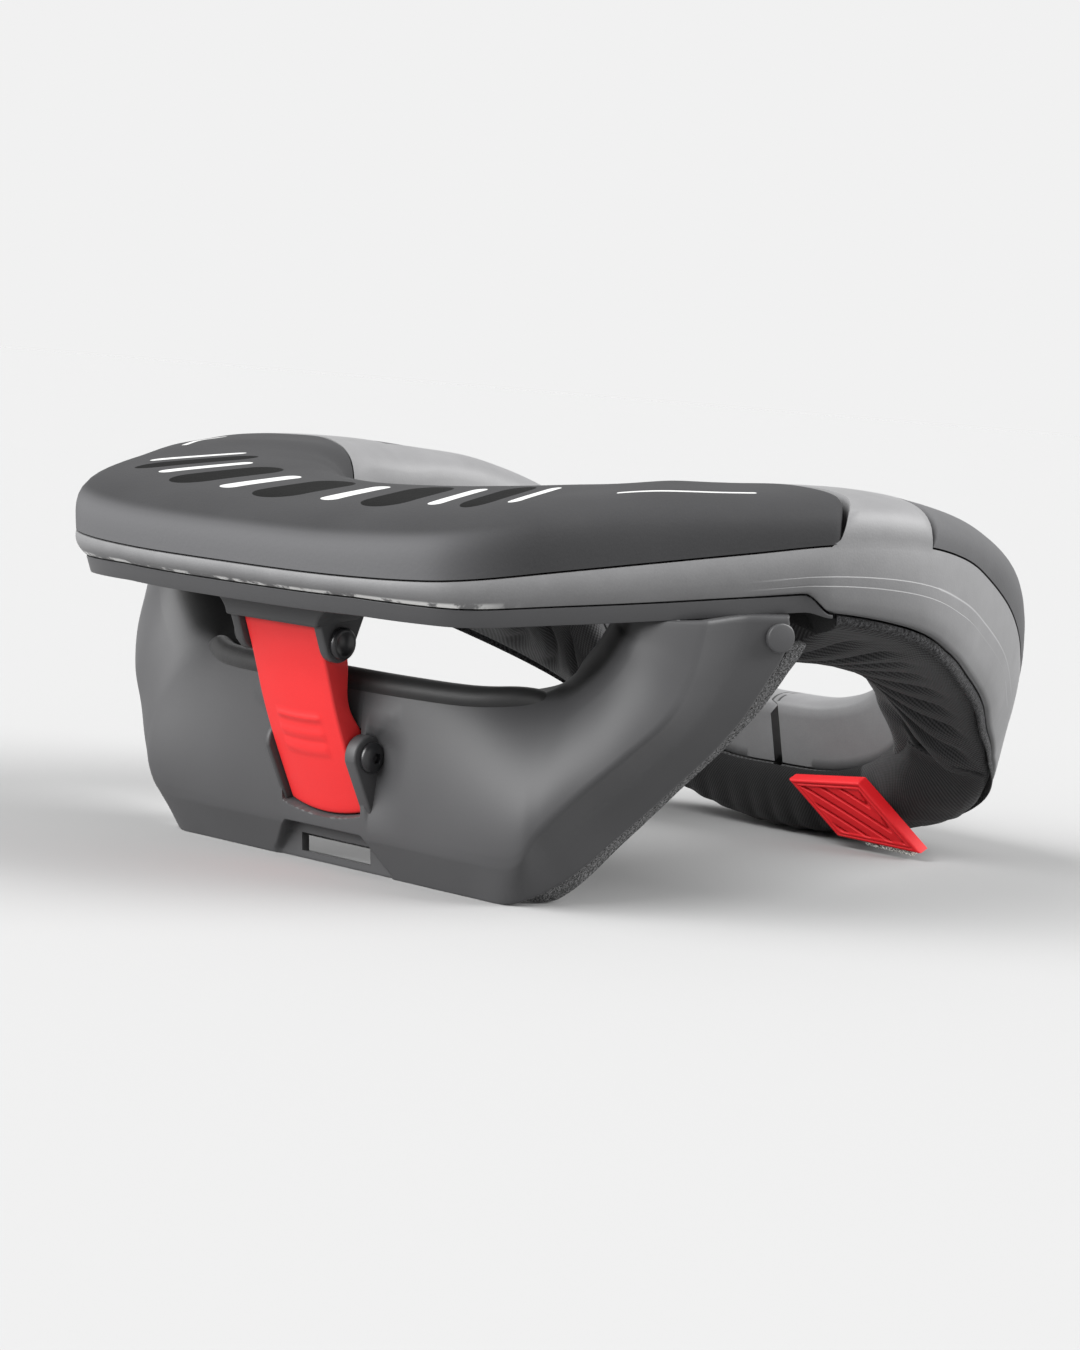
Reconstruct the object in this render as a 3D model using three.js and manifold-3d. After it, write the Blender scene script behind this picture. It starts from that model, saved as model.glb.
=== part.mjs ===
// Protective neck collar: a split foam ring with padded tops, a chest plate on a strut and ribbed padding.
// Millimetres, +Z up, front at -Y, the wearer's left at +X.

import * as THREE from 'three';
import { mergeVertices } from 'three/addons/utils/BufferGeometryUtils.js';
import Module from 'manifold-3d';

const wasm = await Module();
wasm.setup();

// Stance: the collar is drawn with its chest plate upright and leans forward when it stands by itself
const REST_TILT = THREE.MathUtils.degToRad(7);
const FOOT_Y = -112;
const GAP = 0.35;

// Ring, stations from the front centre to the split at the back, on the +X side.
// outer and inner are the upper edges of the outer wall and of the neck wall.
const EDGES = [
  { outer: [0, -156.5, 99], inner: [0, -77, 101] },
  { outer: [40, -155, 99], inner: [25, -72, 101.5] },
  { outer: [70, -149.5, 99.4], inner: [44, -61, 101.5] },
  { outer: [85, -139, 99.9], inner: [56, -50, 101] },
  { outer: [97, -115, 100.8], inner: [66, -40, 99.5] },
  { outer: [110, -92, 102], inner: [72, -30, 100] },
  { outer: [125, -66, 103.4], inner: [76, -21, 102] },
  { outer: [137, -40, 104.2], inner: [78.5, -12, 103] },
  { outer: [143, -10, 101.5], inner: [79.5, 4, 101] },
  { outer: [140, 18, 94.5], inner: [79.5, 22, 101] },
  { outer: [129, 48, 83.5], inner: [77, 44, 95.5] },
  { outer: [116, 80, 68], inner: [72, 70, 82] },
  { outer: [101, 108, 50.5], inner: [65, 90, 66] },
  { outer: [84, 131, 32], inner: [56, 101.5, 46] },
  { outer: [58, 148, 13], inner: [43, 104.5, 28] },
  { outer: [28, 157, 1], inner: [24, 104.5, 20.5] },
  { outer: [0, 160, -3], inner: [0, 104.5, 19.5] },
];

// Section at each station: wall and rim are the heights of the outer and the neck wall, crown is the
// rise of the rounded top and edge its squareness, tuck and slant move the feet of the two walls towards
// the neck and away from it, and depth is the thickness of the padding at the neck.
const SECTIONS = [
  { wall: 12, rim: 14, crown: 17.5, edge: 3.8, tuck: 3, slant: 0, depth: 20 },
  { wall: 12, rim: 14, crown: 17.8, edge: 3.8, tuck: 3, slant: 0, depth: 20 },
  { wall: 13, rim: 14, crown: 18.5, edge: 4, tuck: 3, slant: 0, depth: 20 },
  { wall: 14, rim: 15, crown: 19.1, edge: 4.2, tuck: 3, slant: 0, depth: 20 },
  { wall: 15.5, rim: 15, crown: 20, edge: 4.2, tuck: 3, slant: 0, depth: 20 },
  { wall: 17, rim: 15, crown: 19.6, edge: 4, tuck: 3, slant: 0, depth: 20 },
  { wall: 18.5, rim: 16, crown: 16.6, edge: 3.8, tuck: 3, slant: 0, depth: 21 },
  { wall: 20, rim: 17, crown: 14.5, edge: 3.6, tuck: 3, slant: 0, depth: 22 },
  { wall: 24, rim: 17, crown: 14.2, edge: 3.2, tuck: 1, slant: 0, depth: 23 },
  { wall: 28, rim: 19, crown: 12.8, edge: 3, tuck: -4, slant: 0, depth: 23 },
  { wall: 30, rim: 19, crown: 15, edge: 2.8, tuck: -7, slant: 0, depth: 22 },
  { wall: 31, rim: 15, crown: 17, edge: 2.7, tuck: -6, slant: 0, depth: 20 },
  { wall: 31, rim: 15, crown: 14, edge: 2.6, tuck: -2, slant: 2, depth: 16 },
  { wall: 30, rim: 16, crown: 12, edge: 2.6, tuck: 4, slant: 6, depth: 13 },
  { wall: 28, rim: 17.5, crown: 10, edge: 2.6, tuck: 2.5, slant: 9, depth: 9 },
  { wall: 26.5, rim: 18.5, crown: 9, edge: 2.8, tuck: 0, slant: 11, depth: 8 },
  { wall: 26, rim: 18.5, crown: 9, edge: 2.8, tuck: 0, slant: 11, depth: 8 },
];
const RING = EDGES.map((edges, i) => ({ ...edges, ...SECTIONS[i] }));
const REAR = RING.length - 1;
const SPLIT_HALF = 1.2;
const WALL_BULGE = 1.4;
const NECK_SOFT = 0.75;

// Height of the two walls over the tray, which grows from the front to the sides
const BAND = { front: 6, from: 1.3, growth: 1.4, neck: 8, neckGrowth: 0.4 };

// Front pad: its end is straight across the ring's middle, with a soft corner at the outer edge
// and a long sweep forward at the neck
const PAD_END = { station: 7.22, outside: 0.2, corner: 5, neck: 0.4, sweep: 12.5 };
const PAD_CLEAR = 0.11;
const SEAT_GAP = 0.7;

// Rear pads: an inlay between two stations, over the outer part of the ring's top
const REAR_PAD = { from: 8.25, to: 15.2, seat: 0.7, wall: 0.72, across: 0.685 };

// Carrier tray and the housing of the strut
const TRAY = { gap: 0.5, lip: 5.6, floor: 4.6, taper: 2.6 };
const HOUSING = { half: 19.8, flare: 13, front: -137, back: -119, bottom: 79, top: 91 };
const EAR = { inside: 16.4, outside: 19.8, radius: 7 };

// Strut: front line and thickness at five heights, from the pinned end down;
// its ends are higher at the sides by the sag
const STRUT_HALF = 15.9;
const STRUT_SAG = 2.2;
const POCKET_REACH = 15;
const STRUT = [
  { front: -133.4, z: 79.6, thick: 10.5 },
  { front: -129.6, z: 66, thick: 9.5 },
  { front: -126.2, z: 52, thick: 6.4 },
  { front: -121.8, z: 38, thick: 9.6 },
  { front: -114.2, z: 17.4, thick: 5.5 },
];
const PIN = { y: -127.2, z: 73.4, shaft: 3, head: 4.85, headThick: 1.7 };
const BOLT = { y: -116.6, z: 37.6, shaft: 2.5, head: 4.75, headThick: 2.7, socket: 1.75 };

// Chest plate, stations from the middle to the top of a wing, on the +X side.
// window is the edge under the platform, face the middle of the main face, crease its lower border
// and hem the outer edge.
const PLATE = [
  { window: [0, -114, 57], face: [0, -117, 35], crease: [0, -117, 12.5], hem: [0, -112, -1] },
  { window: [30, -113, 56.5], face: [30, -117, 35], crease: [30, -117, 12.5], hem: [30, -112, -1] },
  { window: [54, -107, 56], face: [58, -116, 34], crease: [58, -117, 12.5], hem: [56, -112, -1] },
  { window: [69, -98, 57.5], face: [77, -114, 35], crease: [78, -115.4, 13.5], hem: [73, -110.5, -0.6] },
  { window: [77, -94, 62], face: [83.8, -109.5, 41], crease: [86, -113, 24], hem: [83, -95, 5] },
  { window: [84, -93, 67], face: [91.8, -103.6, 50], crease: [96.4, -106.3, 36], hem: [92, -80, 17.7] },
  { window: [90, -92, 72], face: [99.8, -99, 58], crease: [106.2, -100.2, 46], hem: [102, -69, 31] },
  { window: [94, -92, 77], face: [106.3, -93.8, 66.5], crease: [115, -91.5, 57], hem: [113, -60, 45] },
  { window: [97, -92, 81], face: [109, -90, 74.5], crease: [118, -84.8, 68], hem: [123, -54.5, 61] },
  { window: [98.5, -91, 83], face: [110.8, -85.4, 83], crease: [119.4, -78.7, 83], hem: [130.5, -55, 83] },
];
const PLATE_THICK = 4;
const PLATE_ROWS = [0, 0.9, 1.8, 2.5, 3, 3.4, 3.8, 4.4, 5.2, 6.2, 7.2, 8.1, 9];
const BOSS = { half: 21, front: -114.5, back: -105.5, bottom: 13, top: 50 };
const RECESS = { wide: 27, narrow: 20, depthY: -111.2, top: 12.5 };
const SILL = { half: 30, back: -105.5, top: 15 };
const SLOT = { half: 15, bottom: 2.3, height: 5.8, side: 1 };
const LIP = { depth: 8, rise: 1.2, turn: THREE.MathUtils.degToRad(55) };
const SCOOP = { radius: 8, length: 15, margin: 1.5 };
const RIVET = { row: 8.74, across: 1.88, shaft: 2.4, head: 4.5, headThick: 1.6 };
const LUG = { width: 13, thick: 4, height: 15, behind: 2.2 };

// Reach of the cutting blocks and rods, past every piece that they cut
const CUT = { front: -130, back: -90, bottom: -9, side: 40, rod: 30 };

// Chest pad behind the plate, down its front and up its back: place across the plate, depth behind the
// plate's face in the middle and at the wings, and lift; its upper edge is a roll behind the plate's lip
const CHEST_PAD = [
  { across: 0.02, depth: 13.4, wing: 5, lift: 5 },
  { across: 0.16, depth: 13.4, wing: 5, lift: 0 },
  { across: 0.3, depth: 5, wing: 5, lift: 0 },
  { across: 0.65, depth: 5, wing: 5, lift: 0 },
  { across: 1, depth: 5, wing: 5, lift: 0 },
  { across: 1.5, depth: 5, wing: 5, lift: 0 },
  { across: 1.96, depth: 5, wing: 4.8, lift: 1.5 },
  { across: 1.96, depth: 9.5, wing: 9, lift: 1.8 },
  { across: 1.5, depth: 10, wing: 10, lift: 0 },
  { across: 1, depth: 10.5, wing: 10.5, lift: 0 },
  { across: 0.3, depth: 12, wing: 10.5, lift: 0 },
  { across: 0.14, depth: 18.5, wing: 10, lift: 0 },
  { across: 0.02, depth: 18.5, wing: 9, lift: 4 },
];
const CHEST_EDGE = { last: 8.3, from: 3, to: 5, narrow: 0.46, reach: 0.2 };

// Ribbed padding, its tape and the strap across the split
const RIB = { count: 12, depth: 2.4, steps: 3, flatFrom: 13.2 };
const LINING = { edge: 3, bulge: 3, start: 0.12, swell: 2, first: 0.012, gap: 0.9 };
const TAPE = { from: 0.015, to: 0.08, thick: 3.4 };
const STRAP = { end: 13.95, lip: 1.6, belly: 1, waist: 11, slope: 5, arch: 0.0042, ribs: 8, ribDepth: 1 };
const TAB = {
  corner: [16.6, 92, -3.4],
  across: [29.5, 1, 3],
  left: [18.5, 6, -19.5],
  right: [22.8, 7.3, -24],
  thick: 5,
};
const PATCH = { from: 0.4, to: 0.9, start: 0.84, end: 1.02, thick: 1.1 };

// Finishes
const FINISH = {
  foam: { color: 0x8f9091, roughness: 0.62, metalness: 0 },
  padSkin: { color: 0x47484a, roughness: 0.55, metalness: 0 },
  plastic: { color: 0x545557, roughness: 0.6, metalness: 0 },
  red: { color: 0xe8333a, roughness: 0.6, metalness: 0 },
  fabric: { color: 0x1d1d1f, roughness: 0.95, metalness: 0 },
  tape: { color: 0x2c2c2e, roughness: 1, metalness: 0 },
  steel: { color: 0x161618, roughness: 0.3, metalness: 0.8 },
  patch: { color: 0xcfcfcb, roughness: 0.8, metalness: 0 },
};

const collar = new THREE.Group();
collar.rotation.x = REST_TILT;

// Solids

function addPiece(name, geometry, finish) {
  const mesh = new THREE.Mesh(geometry, new THREE.MeshStandardMaterial(FINISH[finish]));
  mesh.name = name;
  collar.add(mesh);
}

// Geometry of one closed body from points and triangles, turned inside out if its volume is negative
function closedBody(points, faces) {
  const volume = faces.reduce((sum, [a, b, c]) => {
    return sum + points[a].dot(points[b].clone().cross(points[c]));
  }, 0);
  const index = volume < 0 ? faces.map(([a, b, c]) => [a, c, b]) : faces;
  const geometry = new THREE.BufferGeometry();
  geometry.setFromPoints(points);
  geometry.setIndex(index.flat());
  return geometry;
}

// Body through a row of rings with the same number of points, closed at both ends
function loft(rings) {
  const size = rings[0].length;
  const points = rings.flat();
  const faces = [];
  for (let i = 0; i + 1 < rings.length; i += 1) {
    for (let j = 0; j < size; j += 1) {
      const a = i * size + j;
      const b = i * size + ((j + 1) % size);
      faces.push([a, a + size, b], [b, a + size, b + size]);
    }
  }
  const last = (rings.length - 1) * size;
  for (const [a, b, c] of ringCap(rings[0])) faces.push([a, b, c]);
  for (const [a, b, c] of ringCap(rings[rings.length - 1])) faces.push([last + a, last + c, last + b]);
  return closedBody(points, faces);
}

// Triangles that close a ring, zipped up between its two sides from its first point on
function ringCap(ring) {
  const faces = [];
  let near = 0;
  let far = ring.length - 1;
  while (far - near > 1) {
    const nearer = ring[near + 1].distanceTo(ring[far]) < ring[near].distanceTo(ring[far - 1]);
    faces.push(nearer ? [near, near + 1, far] : [near, far - 1, far]);
    if (nearer) near += 1;
    else far -= 1;
  }
  return faces;
}

function toSolid(geometry) {
  const bare = geometry.clone();
  bare.deleteAttribute('normal');
  bare.deleteAttribute('uv');
  const merged = mergeVertices(bare, 1e-4);
  return new wasm.Manifold(new wasm.Mesh({
    numProp: 3,
    vertProperties: new Float32Array(merged.attributes.position.array),
    triVerts: new Uint32Array(merged.index.array),
  }));
}

function toGeometry(solid) {
  const mesh = solid.getMesh();
  const geometry = new THREE.BufferGeometry();
  geometry.setAttribute('position', new THREE.BufferAttribute(mesh.vertProperties, mesh.numProp));
  geometry.setIndex(new THREE.BufferAttribute(mesh.triVerts, 1));
  return geometry;
}

function block(x0, x1, y0, y1, z0, z1) {
  const box = new THREE.BoxGeometry(x1 - x0, y1 - y0, z1 - z0);
  box.translate((x0 + x1) / 2, (y0 + y1) / 2, (z0 + z1) / 2);
  return toSolid(box);
}

// Round bar along X between two ends
function bar(radius, x0, x1, y, z, sides = 16) {
  const rod = new THREE.CylinderGeometry(radius, radius, x1 - x0, sides);
  rod.rotateZ(-Math.PI / 2);
  rod.translate((x0 + x1) / 2, y, z);
  return toSolid(rod);
}

// Slab of an outline in the YZ plane between two places along X
function slab(shape, x0, x1) {
  const options = { depth: x1 - x0, bevelEnabled: false, curveSegments: 10 };
  const geometry = new THREE.ExtrudeGeometry(shape, options);
  const turn = new THREE.Matrix4().makeBasis(
    new THREE.Vector3(0, 1, 0), new THREE.Vector3(0, 0, 1), new THREE.Vector3(1, 0, 0));
  geometry.applyMatrix4(turn);
  geometry.translate(x0, 0, 0);
  return toSolid(geometry);
}

// Everything under the surface that the collar stands on
function ground() {
  const box = new THREE.BoxGeometry(500, 600, 60);
  box.translate(0, 0, -30);
  box.rotateX(-REST_TILT);
  box.translate(0, FOOT_Y, 0);
  return toSolid(box);
}

const groundZ = (y) => -(y - FOOT_Y) * Math.tan(REST_TILT);
const vector = (v) => new THREE.Vector3(v[0], v[1], v[2]);
const mirrored = (p) => new THREE.Vector3(-p.x, p.y, p.z);
const steps = (count) => Array.from({ length: count + 1 }, (_, i) => i / count);

// Value of a table's row k, past its ends the other side's mirror image or straight on
function rowValue(rows, k, column, straight) {
  const last = rows.length - 1;
  if (k >= 0 && k <= last) return [rows[k][column]].flat();
  const end = k < 0 ? 0 : last;
  const next = [rows[2 * end - k][column]].flat();
  if (!straight) return next.map((v, axis) => (axis === 0 && next.length > 1 ? -v : v));
  return [rows[end][column]].flat().map((v, axis) => 2 * v - next[axis]);
}

// Smooth curve through a table's rows: a number or a point
function between(rows, place, column, straight = { start: false, end: false }) {
  const i = Math.min(Math.floor(place), rows.length - 2);
  const t = place - i;
  const [a, b, c, d] = [i - 1, i, i + 1, i + 2].map((k) => {
    return rowValue(rows, k, column, k < 0 ? straight.start : straight.end);
  });
  const values = b.map((_, axis) => {
    const slope0 = (c[axis] - a[axis]) / 2;
    const slope1 = (d[axis] - b[axis]) / 2;
    return (2 * t ** 3 - 3 * t ** 2 + 1) * b[axis] + (t ** 3 - 2 * t ** 2 + t) * slope0
      + (3 * t ** 2 - 2 * t ** 3) * c[axis] + (t ** 3 - t ** 2) * slope1;
  });
  return values.length > 1 ? vector(values) : values[0];
}

// Ring

const ringMiddle = (u) => between(RING, u, 'outer').add(between(RING, u, 'inner')).multiplyScalar(0.5);

// Section of the ring at station u: its edges, its direction outwards and its direction up
function section(u) {
  const nudge = 0.04;
  const outer = between(RING, u, 'outer');
  const inner = between(RING, u, 'inner');
  const out = outer.clone().sub(inner).normalize();
  const ahead = ringMiddle(Math.min(u + nudge, REAR)).sub(ringMiddle(Math.max(u - nudge, 0)));
  const up = out.clone().cross(ahead).normalize();
  return { outer, inner, out, up };
}

// Point of the ring's top, t across from the outer edge to the neck, h from the seat to the crown
function top(u, t, h) {
  const { outer, inner, up } = section(u);
  const edge = between(RING, u, 'edge') * (t > 0.5 ? NECK_SOFT : 1);
  const dome = Math.pow(1 - Math.pow(Math.abs(2 * t - 1), edge), 1 / edge);
  return outer.lerp(inner, t).addScaledVector(up, h * dome * between(RING, u, 'crown'));
}

// Point of the ring's underside, t across from the outer edge to the neck, below it by drop;
// over the tray the ring is lower by the tray's thickness than where it is full
function under(u, t, drop, full) {
  const { outer, inner, out, up } = section(u);
  const band = BAND.front + BAND.growth * Math.max(0, u - BAND.from);
  const wall = full ? between(RING, u, 'wall') : band;
  const rim = full ? between(RING, u, 'rim') : BAND.neck + BAND.neckGrowth * u;
  const foot = outer.addScaledVector(up, -wall).addScaledVector(out, -between(RING, u, 'tuck'));
  const heel = inner.addScaledVector(up, -rim).addScaledVector(out, between(RING, u, 'slant'));
  return foot.lerp(heel, t).addScaledVector(up, -drop);
}

function padEnd(t) {
  const corner = PAD_END.corner * Math.max(0, PAD_END.outside - t) ** 2;
  const sweep = PAD_END.sweep * Math.max(0, t - PAD_END.neck) ** 3;
  return PAD_END.station - corner - sweep;
}

const inPlane = (p) => new THREE.Vector3(Math.max(p.x, SPLIT_HALF), p.y, p.z);

const TOP_T = [0, 0.025, 0.08, 0.18, 0.34, 0.52, REAR_PAD.seat, REAR_PAD.wall, 0.86, 0.95, 1];
const BASE_T = [0.18, 0.34, 0.52, REAR_PAD.seat, 0.86];
const UNDER_T = [0, 0.25, 0.5, 0.75, 1];

// Stations of the ring: under the front pad, up to the rear pad, under the rear pad, up to the split
const FRONT_STEPS = steps(13);
const MIDDLE_STEPS = [0, 0.4, 0.75, 1];
const REAR_STEPS = steps(12);
const SPLIT_STEPS = [0, 0.5, 1];
const STEP = 0.02;

function ringStations() {
  const blend = (from, to, r) => (t) => from(t) + (to(t) - from(t)) * r;
  const fixed = (u) => () => u;
  const behindPad = (t) => padEnd(t) + STEP;
  return [
    ...FRONT_STEPS.map((s) => ({ place: blend(fixed(0), padEnd, s), seat: 1, full: false })),
    ...MIDDLE_STEPS.map((r) => ({
      place: blend(behindPad, fixed(REAR_PAD.from), r), seat: -1, full: true })),
    ...REAR_STEPS.map((r) => ({
      place: blend(fixed(REAR_PAD.from + STEP), fixed(REAR_PAD.to), r), seat: REAR_PAD.seat, full: true })),
    ...SPLIT_STEPS.map((r) => ({
      place: blend(fixed(REAR_PAD.to + STEP), fixed(REAR), r), seat: -1, full: true })),
  ];
}

const STATIONS = ringStations();
const FRONT_RINGS = FRONT_STEPS.length;

function shellRing({ place, seat, full }) {
  const start = place(0);
  const { out } = section(start);
  const foot = under(start, 0, 0, full);
  const shoulder = top(start, 0, 0);
  const waist = foot.clone().lerp(shoulder, 0.5).addScaledVector(out, WALL_BULGE);
  const crown = TOP_T.map((t) => top(place(t), t, t <= seat ? 0 : 1));
  const below = [...UNDER_T].reverse().slice(0, -1).map((t) => under(place(t), t, 0, full));
  return [foot, waist, ...crown, ...below].map(inPlaneAtRear(place));
}

// Keeps the two ends of the ring apart at the split
function inPlaneAtRear(place) {
  return place(0) > REAR - 1 ? inPlane : (p) => p;
}

const bothSides = (rings) => [...rings.slice(1).reverse().map((ring) => ring.map(mirrored)), ...rings];

function addShell() {
  addPiece('collar_shell', loft(bothSides(STATIONS.map(shellRing))), 'foam');
}

// Ring of a pad that lies on the seat between the outer edge and across
function padRing(place, acrossList) {
  const lift = (t, h) => {
    const u = place(t);
    const seatPoint = top(u, t, 0).addScaledVector(section(u).up, SEAT_GAP);
    const crownPoint = top(u, t, 1);
    return h && crownPoint.distanceTo(top(u, t, 0)) > SEAT_GAP ? crownPoint : seatPoint;
  };
  const roof = acrossList.map((t) => lift(t, 1));
  const base = BASE_T.filter((t) => t < acrossList[acrossList.length - 1]).reverse().map((t) => lift(t, 0));
  const last = acrossList[acrossList.length - 1];
  return last < 1 ? [...roof, lift(last, 0), ...base] : [...roof, ...base];
}

function addFrontPad() {
  const place = (s) => (t) => Math.min(s * padEnd(t), padEnd(t) - PAD_CLEAR);
  const rings = FRONT_STEPS.map((s) => padRing(place(s), TOP_T));
  addPiece('front_pad', loft(bothSides(rings)), 'padSkin');
}

function addRearPads() {
  const across = [...TOP_T.filter((t) => t < REAR_PAD.across), REAR_PAD.across];
  const first = REAR_PAD.from + STEP;
  const clear = (u) => THREE.MathUtils.clamp(u, first + PAD_CLEAR, REAR_PAD.to - PAD_CLEAR);
  const rings = REAR_STEPS.map((r) => padRing(() => clear(first + (REAR_PAD.to - first) * r), across));
  addPiece('rear_pad_left', loft(rings), 'padSkin');
  addPiece('rear_pad_right', loft(rings.map((ring) => ring.map(mirrored))), 'padSkin');
}

// Carrier

function trayRing(s) {
  const place = (t) => Math.min(s * padEnd(t), padEnd(t) - PAD_CLEAR);
  const roof = UNDER_T.map((t) => under(place(t), t, TRAY.gap, false));
  const sole = UNDER_T.map((t) => {
    const deep = t === 0 ? TRAY.lip : TRAY.floor;
    const point = under(place(t), t, deep, false);
    return t === 0 ? point.addScaledVector(section(place(0)).out, -TRAY.taper) : point;
  });
  return [...roof.reverse(), ...sole];
}

// Bridge over the strut's end, flared into the tray, with an ear at each side
function housing() {
  const { half, flare, front, back, bottom, top: roof } = HOUSING;
  const shape = new THREE.Shape();
  shape.moveTo(-half - flare, roof);
  shape.quadraticCurveTo(-half, roof - 2, -half, bottom);
  shape.lineTo(half, bottom);
  shape.quadraticCurveTo(half, roof - 2, half + flare, roof);
  shape.closePath();
  const options = { depth: back - front, bevelEnabled: false, curveSegments: 6 };
  const geometry = new THREE.ExtrudeGeometry(shape, options);
  geometry.rotateX(Math.PI / 2);
  geometry.translate(0, back, 0);
  let solid = toSolid(geometry);
  const ear = new THREE.Shape();
  ear.moveTo(front, bottom + 1);
  ear.lineTo(PIN.y - EAR.radius, PIN.z);
  ear.absarc(PIN.y, PIN.z, EAR.radius, Math.PI, 2 * Math.PI, false);
  ear.lineTo(back, bottom + 1);
  ear.closePath();
  for (const [x0, x1] of [[EAR.inside, EAR.outside], [-EAR.outside, -EAR.inside]]) {
    solid = solid.add(slab(ear, x0, x1));
  }
  return solid;
}

// Pieces about a rivet: modelled along Y, outwards to -Y, and turned to stand on the wing
function atRivet(geometry, side) {
  const out = plateNormal(RIVET.row, RIVET.across).setZ(0).normalize();
  const along = new THREE.Vector3(-out.y, out.x, 0);
  const placed = geometry.clone();
  placed.applyMatrix4(new THREE.Matrix4()
    .makeBasis(along, out.negate(), new THREE.Vector3(0, 0, 1))
    .setPosition(platePoint(RIVET.row, RIVET.across)));
  if (side > 0) return placed;
  placed.scale(-1, 1, 1);
  placed.setIndex(Array.from(placed.index.array).reverse());
  return placed;
}

const LUG_FRONT = PLATE_THICK + LUG.behind;
const RIVET_END = LUG_FRONT + LUG.thick - GAP;

// Lug under the tray, behind the top of a wing
function rivetLug(side) {
  const box = new THREE.BoxGeometry(LUG.width, LUG.thick, LUG.height);
  box.translate(0, LUG_FRONT + LUG.thick / 2, LUG.height / 2 - RIVET.head);
  return toSolid(atRivet(box, side));
}

function rivetRod(radius, from, to, side) {
  const rod = new THREE.CylinderGeometry(radius, radius, to - from, 16);
  rod.translate(0, (from + to) / 2, 0);
  return toSolid(atRivet(rod, side));
}

function addCarrier() {
  let solid = toSolid(loft(bothSides(FRONT_STEPS.map(trayRing))));
  const shellAbove = toSolid(loft(bothSides(STATIONS.slice(0, FRONT_RINGS).map(shellRing))));
  let extra = housing();
  for (const side of [1, -1]) extra = extra.add(rivetLug(side));
  solid = solid.add(extra.subtract(shellAbove).trimByPlane([0, 0, -1], -HOUSING.top + 0.01));
  solid = solid.subtract(strutRoom()).subtract(bar(PIN.shaft + GAP, -CUT.side, CUT.side, PIN.y, PIN.z));
  for (const side of [1, -1]) solid = solid.subtract(rivetRod(RIVET.shaft + GAP, 0, CUT.rod, side));
  addPiece('carrier', toGeometry(solid), 'plastic');
}

// Strut

function strutRing(x, half, grow, reach) {
  const places = steps(8).map((s) => s * (STRUT.length - 1));
  const at = (p, column) => between(STRUT, p, column, { start: true, end: true });
  const line = places.map((p) => ({ front: at(p, 'front'), z: at(p, 'z'), thick: at(p, 'thick') }));
  const arch = STRUT_SAG * (x / half) ** 2;
  const lowest = STRUT[STRUT.length - 1].z;
  const highest = STRUT[0].z;
  const level = (z) => z + arch * (highest - z) / (highest - lowest);
  const shift = (p, z) => z + (p === 0 ? grow : p === places.length - 1 ? -grow : 0);
  const front = line.map((s, i) => new THREE.Vector3(x, s.front - grow - reach, shift(i, level(s.z))));
  const back = line.map((s, i) => new THREE.Vector3(x, s.front + s.thick + grow, shift(i, level(s.z))));
  return [...front, ...back.reverse()];
}

function strutBody(half, grow, reach) {
  return loft(steps(6).map((s) => strutRing(half * (2 * s - 1), half, grow, reach)));
}

const strutRoom = (reach = 0) => toSolid(strutBody(STRUT_HALF + GAP, GAP, reach));

function addStrut() {
  let solid = toSolid(strutBody(STRUT_HALF, 0, 0));
  solid = solid.subtract(bar(PIN.shaft + GAP, -CUT.side, CUT.side, PIN.y, PIN.z));
  solid = solid.subtract(bar(BOLT.shaft + GAP, -CUT.side, CUT.side, BOLT.y, BOLT.z));
  addPiece('strut', toGeometry(solid), 'red');
  const head = EAR.outside + GAP;
  let pin = bar(PIN.shaft, -head, head, PIN.y, PIN.z);
  for (const x of [head, -head - PIN.headThick]) {
    pin = pin.add(bar(PIN.head, x, x + PIN.headThick, PIN.y, PIN.z));
  }
  addPiece('strut_pin', toGeometry(pin), 'steel');
  addPiece('strut_bolt', boltBody(), 'steel');
}

// Button head bolt: a shaft with a domed head that has a six-sided socket
function boltBody() {
  const seat = BOSS.half + GAP;
  const dome = steps(4).map((s) => {
    const turn = s * Math.PI / 2;
    return new THREE.Vector2(BOLT.head * Math.cos(turn), BOLT.headThick * (0.25 + 0.75 * Math.sin(turn)));
  });
  const profile = [new THREE.Vector2(0, 0), new THREE.Vector2(BOLT.head, 0), ...dome.slice(0, -1),
    new THREE.Vector2(0, BOLT.headThick)];
  const head = new THREE.LatheGeometry(profile, 18);
  head.rotateZ(-Math.PI / 2);
  head.translate(seat, BOLT.y, BOLT.z);
  const socket = bar(BOLT.socket, seat + 1, seat + 4, BOLT.y, BOLT.z, 6);
  const shaft = bar(BOLT.shaft, -BOSS.half + GAP, seat + 0.5, BOLT.y, BOLT.z);
  return toGeometry(toSolid(head).subtract(socket).add(shaft));
}

// Chest plate

// Front surface of the plate: -1 is the back of the lip, 0 the window, 1 the crease and 2 the hem
const ACROSS = [-1, 0, 0.2, 0.5, 0.8, 1, 1.5, 2];

function platePoint(row, across) {
  const at = (column) => between(PLATE, row, column, { start: false, end: true });
  const [window, face, crease, hem] = ['window', 'face', 'crease', 'hem'].map(at);
  if (across > 1) return crease.lerp(hem, across - 1);
  if (across < 0) {
    const turn = LIP.turn * THREE.MathUtils.smoothstep(row, 1.5, 6);
    const back = new THREE.Vector3(-Math.sin(turn) * LIP.depth, Math.cos(turn) * LIP.depth, LIP.rise);
    return window.addScaledVector(back, -across);
  }
  const curve = new THREE.QuadraticBezierCurve3();
  curve.v0.copy(window);
  curve.v1.copy(face).multiplyScalar(2).addScaledVector(window, -0.5).addScaledVector(crease, -0.5);
  curve.v2.copy(crease);
  return curve.getPoint(across);
}

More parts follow.
